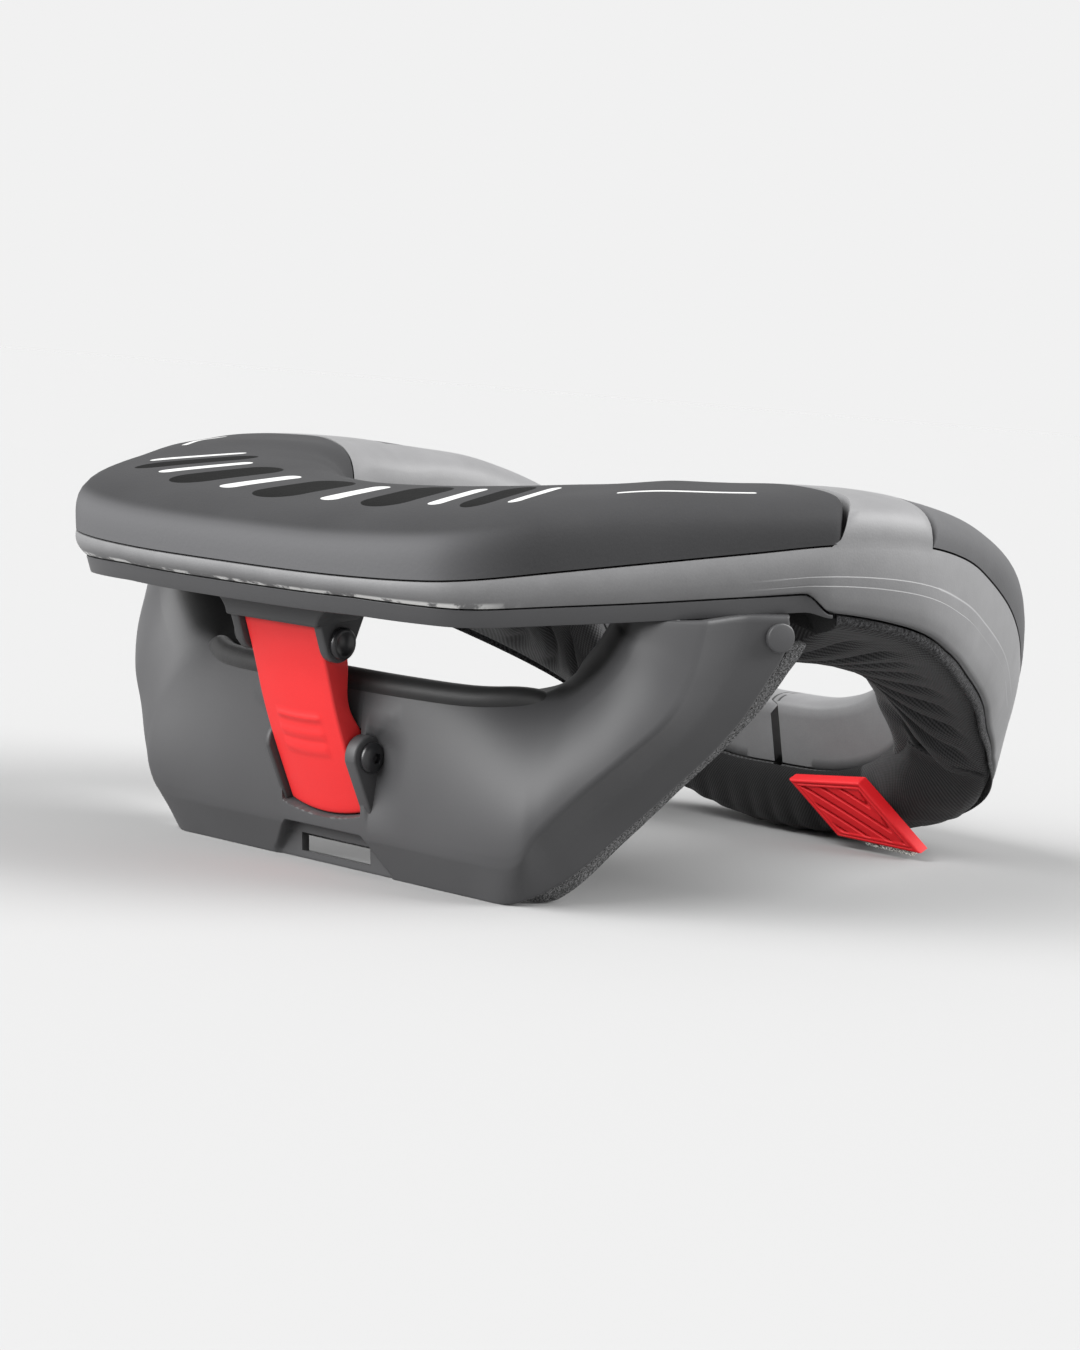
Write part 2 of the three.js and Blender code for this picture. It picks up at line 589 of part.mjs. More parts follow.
// Unit normal of the plate's front surface, outwards
function plateNormal(row, across) {
  const nudge = 0.05;
  const [low, high] = across < 0 ? [-1, 0] : [0, 3];
  const clamp = (w) => THREE.MathUtils.clamp(w, low, high);
  const ahead = Math.min(row + nudge, PLATE.length - 1);
  const along = platePoint(ahead, across).sub(platePoint(row - nudge, across));
  const down = platePoint(row, clamp(across + nudge)).sub(platePoint(row, clamp(across - nudge)));
  return down.cross(along).normalize();
}

function behindPlate(row, across, depth) {
  return platePoint(row, across).addScaledVector(plateNormal(row, across), -depth);
}

// Ear beside the pocket, round about the bolt
function bossEar() {
  const shape = new THREE.Shape();
  const reach = 6.6;
  shape.moveTo(BOSS.back, BOSS.bottom + 6);
  shape.lineTo(BOSS.front - 1.5, BOSS.bottom + 6);
  shape.lineTo(BOLT.y - reach, BOLT.z - 2);
  shape.absarc(BOLT.y, BOLT.z, reach, Math.PI * 1.05, Math.PI * 0.3, true);
  shape.lineTo(BOSS.back, BOSS.top - 2);
  shape.closePath();
  return shape;
}

// Room of the strap slot, wider and higher by margin
function slotCut(margin) {
  const wide = SLOT.half + margin;
  return block(-wide, wide, CUT.front, CUT.back, SLOT.bottom - margin, SLOT.bottom + SLOT.height + margin);
}

// Step cut into the lower border, which leaves a lip with the strap slot
function recessCut() {
  const shape = new THREE.Shape();
  shape.moveTo(-RECESS.wide, -8);
  shape.lineTo(RECESS.wide, -8);
  shape.lineTo(RECESS.wide, 1);
  shape.lineTo(RECESS.narrow, RECESS.top);
  shape.lineTo(-RECESS.narrow, RECESS.top);
  shape.lineTo(-RECESS.wide, 1);
  shape.closePath();
  const geometry = new THREE.ExtrudeGeometry(shape, { depth: 20, bevelEnabled: false });
  geometry.rotateX(Math.PI / 2);
  geometry.translate(0, RECESS.depthY, 0);
  return toSolid(geometry);
}

function plateRing(row) {
  const front = ACROSS.map((w) => behindPlate(row, w, 0));
  const back = ACROSS.map((w) => behindPlate(row, w, PLATE_THICK));
  return [...front, ...back.reverse()];
}

// Hollow in the face beside an ear, round the bolt's head
function scoop(side) {
  const bowl = new THREE.SphereGeometry(SCOOP.radius, 12, 8);
  bowl.scale(SCOOP.length / SCOOP.radius, 1, 1);
  bowl.translate(side * BOSS.half, BOLT.y, BOLT.z);
  return toSolid(bowl);
}

function addChestPlate() {
  const rings = PLATE_ROWS.map(plateRing);
  let solid = toSolid(loft(bothSides(rings)));
  const { half, front, back, bottom, top: roof } = BOSS;
  solid = solid.add(block(-half, half, front, back, bottom, roof));
  solid = solid.add(block(-SILL.half, SILL.half, RECESS.depthY - 2, SILL.back, -6, SILL.top));
  const wide = half + SCOOP.length - 2;
  const tall = SCOOP.radius + SCOOP.margin;
  solid = solid.add(block(-wide, wide, front + 1, back, BOLT.z - tall, BOLT.z + tall));
  solid = solid.subtract(scoop(1)).subtract(scoop(-1));
  for (const [x0, x1] of [[EAR.inside, half], [-half, -EAR.inside]]) {
    solid = solid.add(slab(bossEar(), x0, x1));
  }
  solid = solid.subtract(recessCut());
  solid = solid.subtract(slotCut(0));
  solid = solid.subtract(strutRoom(POCKET_REACH));
  solid = solid.subtract(bar(BOLT.shaft + GAP, -half - 1, half + 1, BOLT.y, BOLT.z));
  for (const side of [1, -1]) {
    solid = solid.subtract(rivetRod(RIVET.shaft + GAP, -CUT.rod, CUT.rod, side));
    solid = solid.subtract(rivetRod(RIVET.head + 2 * GAP, -CUT.rod, 0.2, side));
  }
  addPiece('chest_plate', toGeometry(largest(solid.subtract(ground()))), 'plastic');
  for (const [name, side] of [['wing_rivet_left', 1], ['wing_rivet_right', -1]]) {
    const head = rivetRod(RIVET.head, -RIVET.headThick, -0.15, side);
    addPiece(name, toGeometry(head.add(rivetRod(RIVET.shaft, -0.5, RIVET_END, side))), 'plastic');
  }
}

// Padded backing: rolled up behind the lip in the middle, narrower and a little past the hem at the wings
function chestPadPoint(row, { across, depth, wing, lift }) {
  const share = THREE.MathUtils.smoothstep(row, CHEST_EDGE.from, CHEST_EDGE.to);
  const place = across + share * (CHEST_EDGE.narrow * (2 - across) + CHEST_EDGE.reach * across / 2);
  const point = behindPlate(row, place, THREE.MathUtils.lerp(depth, wing, share));
  point.z += lift * (1 - share);
  return point;
}

function addChestPad() {
  const rows = PLATE_ROWS.map((row) => Math.min(row, CHEST_EDGE.last));
  const rings = rows.map((row) => CHEST_PAD.map((edge) => chestPadPoint(row, edge)));
  const { half, front, back, bottom } = BOSS;
  const room = half + SCOOP.length;
  let solid = toSolid(loft(bothSides(rings)));
  solid = solid.subtract(block(-room, room, front - 9, back + GAP, bottom - GAP, 90));
  const sill = SILL.half + GAP;
  solid = solid.subtract(block(-sill, sill, CUT.front, SILL.back + GAP, CUT.bottom, SILL.top + GAP));
  solid = solid.subtract(slotCut(SLOT.side));
  addPiece('chest_pad', toGeometry(largest(solid)), 'fabric');
}

// The biggest of a solid's separate bodies
function largest(solid) {
  return solid.decompose().sort((a, b) => b.volume() - a.volume())[0];
}

// Padding of the ring

// Underside of the faceted ring, straight between its own stations and edges
const REAR_STATIONS = STATIONS.slice(FRONT_RINGS);

function rearPlace(r) {
  const place = r * (REAR_STATIONS.length - 1);
  const i = Math.min(Math.floor(place), REAR_STATIONS.length - 2);
  return [i, place - i];
}

function shellUnder(r, t, drop) {
  const [i, along] = rearPlace(r);
  const j = Math.min(Math.floor(t * (UNDER_T.length - 1)), UNDER_T.length - 2);
  const across = (t - UNDER_T[j]) / (UNDER_T[j + 1] - UNDER_T[j]);
  const corner = (k, w) => under(REAR_STATIONS[k].place(UNDER_T[w]), UNDER_T[w], drop, true);
  const row = (k) => corner(k, j).lerp(corner(k, j + 1), across);
  return row(i).lerp(row(i + 1), along);
}

function stationAt(r) {
  const [i, along] = rearPlace(r);
  const at = (k) => REAR_STATIONS[k].place(0.5);
  return at(i) + (at(i + 1) - at(i)) * along;
}

const LINING_T = [LINING.start, ...UNDER_T.slice(1)];

// Depth of the padding under the ring: thin outside, deep at the neck, with ribs across
function liningDepth(r, t) {
  const u = stationAt(r);
  const deep = between(RING, u, 'depth');
  const ease = t * t * (3 - 2 * t);
  const across = Math.sin(Math.PI * Math.min(t + 0.05, 1)) ** 0.5;
  const fade = across * THREE.MathUtils.clamp(RIB.flatFrom - u, 0, 1);
  const groove = Math.abs(Math.cos(Math.PI * r * RIB.count)) ** 3;
  const belly = LINING.bulge * 4 * t * (1 - t);
  return LINING.edge + (deep - LINING.edge) * ease + belly - RIB.depth * fade * groove;
}

function liningRing(r) {
  const roof = LINING_T.map((t) => shellUnder(r, t, LINING.gap));
  const sole = LINING_T.map((t) => shellUnder(r, t, liningDepth(r, t)));
  const swell = section(stationAt(r)).out;
  const neck = roof.length - 1;
  const cheek = roof[neck].clone().lerp(sole[neck], 0.5).addScaledVector(swell, -LINING.swell);
  const ring = [...roof, cheek, ...sole.reverse()];
  return stationAt(r) > REAR - 1 ? ring.map(inPlane) : ring;
}

// Narrow tape along the outer edge of the padding
function tapeRing(r) {
  const ends = [TAPE.from, TAPE.to];
  const roof = ends.map((t) => shellUnder(r, t, SEAT_GAP));
  const sole = ends.map((t) => shellUnder(r, t, TAPE.thick));
  const ring = [...roof, ...sole.reverse()];
  return stationAt(r) > REAR - 1 ? ring.map(inPlane) : ring;
}

function addLinings() {
  const along = (share) => LINING.first + (1 - LINING.first) * share;
  const ribs = steps(RIB.count * RIB.steps).map((s) => liningRing(along(s)));
  const tapes = steps(RIB.count * RIB.steps).map((s) => tapeRing(along(s)));
  for (const [side, flip] of [['left', (p) => p], ['right', mirrored]]) {
    addPiece(`lining_${side}`, loft(ribs.map((ring) => ring.map(flip))), 'fabric');
    addPiece(`edge_tape_${side}`, loft(tapes.map((ring) => ring.map(flip))), 'tape');
  }
}

// Strap across the split: it lies on the padding and its sole is flat on the ground
function strapRing(u) {
  const r = ringShare(u);
  const seat = LINING_T.map((t) => shellUnder(r, t, liningDepth(r, t) + GAP + 0.2));
  const neck = seat[seat.length - 1];
  const heel = seat[0];
  const arch = STRAP.arch * neck.x ** 2;
  const wave = Math.cos(Math.PI * STRAP.ribs * (REAR - u) / (REAR - STRAP.end));
  const rib = STRAP.ribDepth * Math.abs(wave) ** 3;
  const lip = new THREE.Vector3(neck.x, neck.y - STRAP.lip, neck.z + 1);
  const chest = new THREE.Vector3(neck.x, neck.y - STRAP.belly + rib, neck.z - STRAP.waist);
  const toeY = neck.y + STRAP.slope;
  const toeZ = Math.min(groundZ(toeY) + arch + rib, neck.z - STRAP.waist - 3);
  const toe = new THREE.Vector3(neck.x, toeY, toeZ);
  const soleY = heel.y - 4;
  const soleZ = Math.min(groundZ(soleY) + arch + rib, heel.z - 1.2);
  const sole = new THREE.Vector3(heel.x, soleY, soleZ);
  const tail = heel.clone().add(new THREE.Vector3(0, 1, -1));
  return [...seat, lip, chest, toe, sole, tail];
}

// Share of the way along the padding at which a station lies
function ringShare(u) {
  let low = 0;
  let high = 1;
  for (let i = 0; i < 30; i += 1) {
    const middle = (low + high) / 2;
    if (stationAt(middle) < u) low = middle;
    else high = middle;
  }
  return (low + high) / 2;
}

function addStrap() {
  const half = steps(14).map((s) => strapRing(REAR - s * (REAR - STRAP.end)));
  let solid = toSolid(loft(bothSides(half)));
  solid = solid.subtract(tabBody(GAP)).subtract(patchBody(GAP)).subtract(ground());
  addPiece('closure_strap', toGeometry(largest(solid)), 'fabric');
  addPiece('pull_tab', toGeometry(tabBody(0)), 'red');
  addPiece('hook_patch', toGeometry(patchBody(0)), 'patch');
}

// Slab along the tab: shares of its width and length, and millimetres behind its front
function tabSlab([from, to], [start, end], [near, far], grow) {
  const [across, left, right] = [TAB.across, TAB.left, TAB.right].map(vector);
  const back = across.clone().cross(left).normalize();
  const sideGrow = grow / across.length();
  const endGrow = grow / left.length();
  const corner = (s, t, depth) => vector(TAB.corner).addScaledVector(across, s)
    .addScaledVector(left.clone().lerp(right, s), t).addScaledVector(back, depth);
  const face = (depth) => [
    corner(from - sideGrow, start - endGrow, depth),
    corner(to + sideGrow, start - endGrow, depth),
    corner(to + sideGrow, end + endGrow, depth),
    corner(from - sideGrow, end + endGrow, depth),
  ];
  return toSolid(loft([face(near - grow), face(far + grow)]));
}

const tabBody = (grow) => tabSlab([0, 1], [0, 1], [0, TAB.thick], grow);

// Patch behind the end of the tab
function patchBody(grow) {
  const near = TAB.thick + GAP;
  return tabSlab([PATCH.from, PATCH.to], [PATCH.start, PATCH.end], [near, near + PATCH.thick], grow);
}

addShell();
addFrontPad();
addRearPads();
addCarrier();
addStrut();
addChestPlate();
addChestPad();
addLinings();
addStrap();

// The origin is under the middle of the whole collar
const part = new THREE.Group();
part.add(collar);
const reach = new THREE.Box3().setFromObject(part, true);
const centre = reach.getCenter(new THREE.Vector3());
collar.position.set(-centre.x, -centre.y, -reach.min.z);

export default part;
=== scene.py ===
"""Looks of a protective neck collar: padded ring, chest plate on a strut, ribbed padding and rear strap.

Tables are in millimetres in the drawing frame: chest plate upright, front at -Y, the wearer's left at +X.
"""

import math

import bpy
import numpy as np
from mathutils import Matrix, Vector


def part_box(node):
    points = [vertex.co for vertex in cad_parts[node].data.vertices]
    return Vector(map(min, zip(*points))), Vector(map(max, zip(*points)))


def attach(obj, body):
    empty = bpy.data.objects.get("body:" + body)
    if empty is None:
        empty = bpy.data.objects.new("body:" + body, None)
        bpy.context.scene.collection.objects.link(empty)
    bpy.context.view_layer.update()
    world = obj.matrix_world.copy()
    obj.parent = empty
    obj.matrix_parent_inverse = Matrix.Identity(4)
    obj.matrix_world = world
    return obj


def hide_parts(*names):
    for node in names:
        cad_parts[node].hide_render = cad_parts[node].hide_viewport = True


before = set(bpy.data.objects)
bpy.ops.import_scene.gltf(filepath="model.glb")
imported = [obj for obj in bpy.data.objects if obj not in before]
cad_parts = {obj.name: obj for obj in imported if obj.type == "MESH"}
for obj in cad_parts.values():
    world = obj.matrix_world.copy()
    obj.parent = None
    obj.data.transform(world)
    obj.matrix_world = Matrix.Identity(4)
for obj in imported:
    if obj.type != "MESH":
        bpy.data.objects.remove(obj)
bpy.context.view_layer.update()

bl_info = {
    "name": "Protective neck collar",
    "version": (1, 0, 0),
    "blender": (4, 5, 0),
    "location": "View3D > Sidebar > Collar",
    "description": "Models and finishes a protective neck collar round its packed solids",
    "category": "Add Mesh",
}

# Stance: the drawing frame leans by the tilt, and the strut's pin gives its place
TILT = math.radians(7)
PIN_CENTRE = (0, -127.2, 73.4)
MM = 0.001

# Ring, stations from the front centre to the split at the back, on the +X side
OUTER, INNER = slice(0, 3), slice(3, 6)
WALL, RIM, CROWN, EDGE, TUCK, SLANT, DEPTH = range(6, 13)
RING = np.array([
    # outer upper edge, inner upper edge, wall, rim, crown, edge, tuck, slant, depth
    (0, -156.5, 99, 0, -77, 101, 12, 14, 17.5, 3.8, 3, 0, 20),
    (40, -155, 99, 25, -72, 101.5, 12, 14, 17.8, 3.8, 3, 0, 20),
    (70, -149.5, 99.4, 44, -61, 101.5, 13, 14, 18.5, 4, 3, 0, 20),
    (85, -139, 99.9, 56, -50, 101, 14, 15, 19.1, 4.2, 3, 0, 20),
    (97, -115, 100.8, 66, -40, 99.5, 15.5, 15, 20, 4.2, 3, 0, 20),
    (110, -92, 102, 72, -30, 100, 17, 15, 19.6, 4, 3, 0, 20),
    (125, -66, 103.4, 76, -21, 102, 18.5, 16, 16.6, 3.8, 3, 0, 21),
    (137, -40, 104.2, 78.5, -12, 103, 20, 17, 14.5, 3.6, 3, 0, 22),
    (143, -10, 101.5, 79.5, 4, 101, 24, 17, 14.2, 3.2, 1, 0, 23),
    (140, 18, 94.5, 79.5, 22, 101, 28, 19, 12.8, 3, -4, 0, 23),
    (129, 48, 83.5, 77, 44, 95.5, 30, 19, 15, 2.8, -7, 0, 22),
    (116, 80, 68, 72, 70, 82, 31, 15, 17, 2.7, -6, 0, 20),
    (101, 108, 50.5, 65, 90, 66, 31, 15, 14, 2.6, -2, 2, 16),
    (84, 131, 32, 56, 101.5, 46, 30, 16, 12, 2.6, 4, 6, 13),
    (58, 148, 13, 43, 104.5, 28, 28, 17.5, 10, 2.6, 2.5, 9, 9),
    (28, 157, 1, 24, 104.5, 20.5, 26.5, 18.5, 9, 2.8, 0, 11, 8),
    (0, 160, -3, 0, 104.5, 19.5, 26, 18.5, 9, 2.8, 0, 11, 8),
])
REAR = len(RING) - 1
SPLIT_HALF = 1.8
WALL_BULGE = 1.4
NECK_SOFT = 0.75
BAND = {"front": 6, "start": 1.3, "growth": 1.4, "neck": 8, "neck_growth": 0.4}
PAD_END = {"station": 7.22, "outside": 0.2, "corner": 5, "neck": 0.4, "sweep": 12.5, "low": 0.02,
           "round": 0.15}
PAD_GAP = 0.015
PAD_FALL = 0.055
PAD_FILL = 0.85
REAR_PAD = {"start": 8.25, "end": 15.2, "seat": 0.7, "gap": 0.012, "side_gap": 0.006, "fall": 0.16,
            "side_fall": 0.05}
GROOVE = {"gap": 0.012, "wide": 0.035, "rear": 0.07, "clear": 0.02}
LEDGES = ((0.42, 0.55), (0.56, 0.35))
LEDGE_FLOOR = 0.39
LEDGE_REACH = {"start": 5.8, "full": 6.8, "fade": 11, "end": 12.5}
FOOT_ROUND = {"size": 0.7, "wall": 0.05, "sole": 0.03}
TRAY = {"start": 0.42, "end": 0.06, "short": 0.02, "gap": 0.4, "edge": 5.6, "thick": 4.9, "draw": 1.2,
        "thin": 0.75}
SEAT_GAP = 0.6

# Chest plate, stations from the middle to the top of a wing: window, face, crease and hem
PLATE = np.array([
    (0, -114, 59, 0, -117, 35, 0, -117, 12.5, 0, -112, -1),
    (30, -113, 58.7, 30, -117, 35, 30, -117, 12.5, 30, -112, -1),
    (54, -107, 58.2, 58, -116, 34, 58, -117, 12.5, 56, -112, -1),
    (69, -98, 59.5, 77, -114, 35, 78, -115.4, 13.5, 73, -110.5, -0.6),
    (77, -94, 63, 83.8, -109.5, 41, 86, -113, 24, 83, -95, 5),
    (84, -93, 67, 91.8, -103.6, 50, 96.4, -106.3, 36, 92, -80, 17.7),
    (90, -92, 72, 99.8, -99, 58, 106.2, -100.2, 46, 102, -69, 31),
    (94, -92, 77, 106.3, -93.8, 66.5, 115, -91.5, 57, 113, -60, 45),
    (97, -92, 81, 109, -90, 74.5, 118, -84.8, 68, 123, -54.5, 61),
    (98.5, -91, 83, 110.8, -85.4, 83, 119.4, -78.7, 83, 130.5, -55, 83),
])
PLATE_THICK = 4
LIP = {"depth": 8, "wing": 9, "rise": 1.2, "turn": math.radians(45)}
HEM_IN = {"size": 3.0, "start": 2.6, "full": 4.8, "fade": 7.8, "end": 8.6}
HEM_TOP = {"size": 2.2, "start": 8.2, "full": 8.65, "fade": 8.8, "share": 0.7}
WING_TOP = {"rise": 2.6, "start": 8.3, "hem": 0.4}
RECESS = {"wide": 25, "narrow": 16.5, "back": -111.2, "top": 12.5}
SLOT = {"half": 15, "bottom": 2.3, "top": 8.1, "front": -116}
SCOOP = {"depth": 3.6, "reach": 37, "fade": 15, "low": 13, "full": 34, "top": 49, "end": 9}
GUSSET = {"inside": 16.4, "outside": 32, "top": 53.2, "height": 0.45, "foot": 41, "root": 18, "slope": 0.72}
CHANNEL = {"depth": 2.6, "place": 1.52, "half": 0.5, "start": 2.6, "end": 5}
PLATE_ROUND = 1.5
PLATE_FOLDS = ((0, 0.14, 0.14, 0.5), (1, 0.07, 0.07, 0))
BOSS_HALF = 21
RIVET = {"row": 8.74, "across": 1.88, "radius": 4.5, "thick": 1.6}

# Strut: front line, height and thickness from the pinned end down
STRUT = np.array([
    (-133.4, 79.6, 10.5),
    (-129.6, 66, 9.5),
    (-126.2, 52, 6.4),
    (-121.8, 38, 9.6),
    (-114.2, 17.4, 5.5),
])
STRUT_HALF = 15.9
STRUT_SAG = 2.2
STRUT_CROWN = 0.9
GRIP = {"places": (0.5, 0.58, 0.66), "half": 0.022, "soft": 0.012, "reach": 0.62, "height": 0.7}
BOLT = {"y": -116.6, "z": 37.6, "radius": 4.75, "thick": 2.7}
PIN = {"radius": 4.85, "thick": 1.7}
EAR = {"inside": 16.4, "outside": 19.8, "round": 6, "back": -114.5}
PLATE_EAR = {"round": 6.6, "front": -116, "back": -108, "low": 19, "high": 48, "thin": 2}
LUG = {"near": 2.2, "far": 6.2, "half": 6.5, "low": -4.5, "high": 9}
HOUSING = {"half": 19.8, "flare": 13, "front": -137, "back": -119, "bottom": 79, "top": 91}

# Padding under the ring, tape at its edge, strap across the split and the tab on it
RIBS = {"count": 12, "depth": 2.88, "flat": 14.4, "start": 0.18, "full": 0.45, "neck": 0.9, "share": 0.6,
        "slant": 0.35, "sharp": 5}
LINING = {"edge": 3, "bulge": 3, "start": 0.08, "rim": 0.06, "rim_share": 0.35, "gap": 0.7, "least": 1.1,
          "after_tray": 0.03}
CHEEK = {"size": 2, "more": 8.5, "start": 8.5, "full": 10.5, "fade": 13, "end": 14.2}
TAPE = {"start": 0.02, "end": 0.12, "rear": 0.06, "thick": 4, "seat": 0.6, "edge": 0.9}
STRAP = {"end": 13.3, "full": 14.3, "seam": 14.5, "lip": 2.8, "thick": 1.6, "belly": 1, "waist": 11,
         "slope": 5, "arch": 0.0042, "ribs": 8, "dip": 0.8, "gap": 0.6, "heel": 4}
FOOT_Y = -112
TAB = {"corner": (16.6, 92, -3.4), "across": (29.5, 1, 3), "left": (18.5, 6, -19.5),
       "right": (22.8, 7.3, -24)}
TAB_THICK = 5
TAB_LENGTH = 0.955
TAB_SIZE = (30.0, 27.5)
RIDGES = {"border": 2.6, "stitch": 1.7, "turn": 0.84, "slope": 1.14, "steep": 2.6, "pitch": 9.2,
          "depth": 1.2, "sunk": 0.25, "round": 0.8}
HOOKS = {"places": ((0.3, 0.47), (0.49, 0.66), (0.68, 0.85)), "near": 0.004, "far": 0.08, "front": 0.7,
         "back": 1.4}

# Viewing angle of the photograph, in the drawing frame
CAMERA = {"azimuth": 42.5, "elevation": 10.4, "target": (-12.26, -5.24, 43.43), "distance": 1034.08,
          "lens": 83.2}


# Drawing frame

def unit(v):
    return v / np.maximum(np.linalg.norm(v, axis=-1, keepdims=True), 1e-9)


def leaned(points):
    """Drawing millimetres turned by the stance, still in millimetres."""
    x, y, z = np.moveaxis(np.asarray(points, float), -1, 0)
    c, s = math.cos(TILT), math.sin(TILT)
    return np.stack([x, y * c - z * s, y * s + z * c], -1)


def pin_offset():
    low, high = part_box("strut_pin")
    return np.array((low + high) / 2) - leaned(PIN_CENTRE) * MM


OFFSET = pin_offset()


def rest(points):
    """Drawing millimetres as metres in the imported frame."""
    return leaned(points) * MM + OFFSET


def undone(point):
    """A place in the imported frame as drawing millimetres."""
    p = (np.array(point) - OFFSET) / MM
    c, s = math.cos(TILT), math.sin(TILT)
    return np.array((p[0], p[1] * c + p[2] * s, -p[1] * s + p[2] * c))


def ground(y):
    """Height of the floor in the drawing frame."""
    return -(y - FOOT_Y) * math.tan(TILT)


def smooth(x, low, high):
    """Soft step from 0 at low to 1 at high."""
    t = np.clip((x - low) / (high - low), 0, 1)
    return t * t * (3 - 2 * t)


def along(table, place, mirror=(), straight=(False, False)):
    """Smooth curve through a table's rows; past its ends the rows are mirrored or go straight on."""
    sign = np.ones(table.shape[1])
    sign[list(mirror)] = -1
    first = 2 * table[0] - table[1] if straight[0] else table[1] * sign
    last = 2 * table[-1] - table[-2] if straight[1] else table[-2] * sign
    rows = np.vstack([first, table, last])
    place = np.asarray(place, float)
    i = np.clip(np.floor(place), 0, len(table) - 2).astype(int)
    t = (place - i)[..., None]
    a, b, c, d = (rows[i + k] for k in range(4))
    return ((2 * t**3 - 3 * t**2 + 1) * b + (t**3 - 2 * t**2 + t) * (c - a) / 2
            + (3 * t**2 - 2 * t**3) * c + (t**3 - t**2) * (d - b) / 2)


def signed(shape, station, *args):
    """Points of a shape for stations on both sides of the middle."""
    points = shape(np.abs(station), *args)
    points[..., 0] *= np.where(station < 0, -1, 1)
    return points


def both_sides(values):
    """Places of the left side, with their mirror image before them."""
    return np.concatenate([-values[:0:-1], values])


def grid(rows, columns):
    """The row's value and the column's value at each place of a grid."""
    return np.meshgrid(rows, columns, indexing="ij")


# Ring surface

def ring_row(u):
    return along(RING, u, mirror=(0, 3))


def ring_middle(u):
    row = ring_row(u)
    return (row[..., OUTER] + row[..., INNER]) / 2


def section(u):
    """Row of the ring's table at a station, with the outward and the upward direction of the section."""
    row = ring_row(u)
    out = unit(row[..., OUTER] - row[..., INNER])
    ahead = ring_middle(np.minimum(u + 0.04, REAR)) - ring_middle(np.maximum(u - 0.04, 0))
    return row, out, unit(np.cross(out, ahead))


def roof(u, t, rise):
    """Top of the ring, t across from the outer edge to the neck, rise from the seat to the crown."""
    row, _, up = section(u)
    edge = row[..., EDGE] * np.where(t > 0.5, NECK_SOFT, 1)
    dome = np.clip(1 - np.abs(2 * t - 1)**edge, 0, 1)**(1 / edge)
    flat = row[..., OUTER] + (row[..., INNER] - row[..., OUTER]) * t[..., None]
    return flat + up * (rise * dome * row[..., CROWN])[..., None]


def underside(u, t, drop, full):
    """Underside of the ring below by drop; full is 0 over the tray and 1 where the ring is whole."""
    row, out, up = section(u)
    band = BAND["front"] + BAND["growth"] * np.maximum(0, u - BAND["start"])
    neck = BAND["neck"] + BAND["neck_growth"] * u
    wall = band + (row[..., WALL] - band) * full
    rim = neck + (row[..., RIM] - neck) * full
    foot = row[..., OUTER] - up * wall[..., None] - out * row[..., TUCK, None]
    heel = row[..., INNER] - up * rim[..., None] + out * row[..., SLANT, None]
    return foot + (heel - foot) * t[..., None] - up * np.asarray(drop)[..., None]


def pad_end(t):
    """Station at which the front pad ends: a soft corner outside and a long sweep at the neck."""
    corner = PAD_END["corner"] * np.maximum(0, PAD_END["outside"] - t)**2
    return PAD_END["station"] - corner - PAD_END["sweep"] * np.maximum(0, t - PAD_END["neck"])**3


def pad_corner(t):
    """Stations by which the lower outer corner of the pad's end is rounded off."""
    low = np.clip(1 - (t / PAD_END["low"])**0.28, 0, 1)
    return PAD_END["round"] * (1 - np.sqrt(1 - low**2))


def tray_share(u, t):
    """How whole the ring is at a place: 0 over the tray, 1 behind its end."""
    return smooth(u, pad_end(t) - TRAY["start"], pad_end(t) - TRAY["end"])


def keep_split(points, u):
    """Keeps the two ends of the ring apart at the split."""
    side = np.where(points[..., 0] < 0, -1, 1)
    apart = side * np.maximum(np.abs(points[..., 0]), SPLIT_HALF)
    points[..., 0] = np.where(np.abs(u) > REAR - 1, apart, points[..., 0])
    return points


# Mesh making

def deselect():
    if bpy.context.object and bpy.context.object.mode != "OBJECT":
        bpy.ops.object.mode_set(mode="OBJECT")
    bpy.ops.object.select_all(action="DESELECT")


def choose(obj):
    deselect()
    obj.select_set(True)
    bpy.context.view_layer.objects.active = obj


def skin(name, points, capped=False, marks=None):
    """Grid laid over points in drawing millimetres and joined where its edges meet.

    Its lengths both ways are the UV map, and the marks are attributes of its points.
    """
    rows, columns = points.shape[:2]
    deselect()
    bpy.ops.mesh.primitive_grid_add(x_subdivisions=columns - 1, y_subdivisions=rows - 1, size=1)
    obj = bpy.context.object
    obj.name = obj.data.name = name
    mesh = obj.data
    flat = np.empty(len(mesh.vertices) * 3)
    mesh.vertices.foreach_get("co", flat)
    flat = flat.reshape(-1, 3)
    i = np.rint((flat[:, 1] + 0.5) * (rows - 1)).astype(int)
    j = np.rint((flat[:, 0] + 0.5) * (columns - 1)).astype(int)
    mesh.vertices.foreach_set("co", rest(points)[i, j].ravel())
    lengths = [np.cumsum(np.linalg.norm(np.diff(points, axis=axis, prepend=np.take(points, [0], axis)),
                                        axis=-1), axis=axis) for axis in (0, 1)]
    corner = np.empty(len(mesh.loops), int)
    mesh.loops.foreach_get("vertex_index", corner)
    uv = np.stack([np.median(lengths[0], axis=1)[i], lengths[1][i, j]], -1) * MM
    mesh.uv_layers.active.data.foreach_set("uv", uv[corner].ravel())
    for key, values in (marks or {}).items():
        mesh.attributes.new(key, "FLOAT", "POINT").data.foreach_set("value", values[i, j].ravel())
    bpy.ops.object.mode_set(mode="EDIT")
    bpy.ops.mesh.select_all(action="SELECT")
    bpy.ops.mesh.remove_doubles(threshold=1e-6)
    if capped:
        bpy.ops.mesh.fill_holes(sides=0)
    bpy.ops.mesh.normals_make_consistent(inside=False)
    bpy.ops.object.mode_set(mode="OBJECT")
    return obj


def ring_loop(points):
    """Closes each row of points by repeating its first point."""
    return np.concatenate([points, points[:, :1]], axis=1)


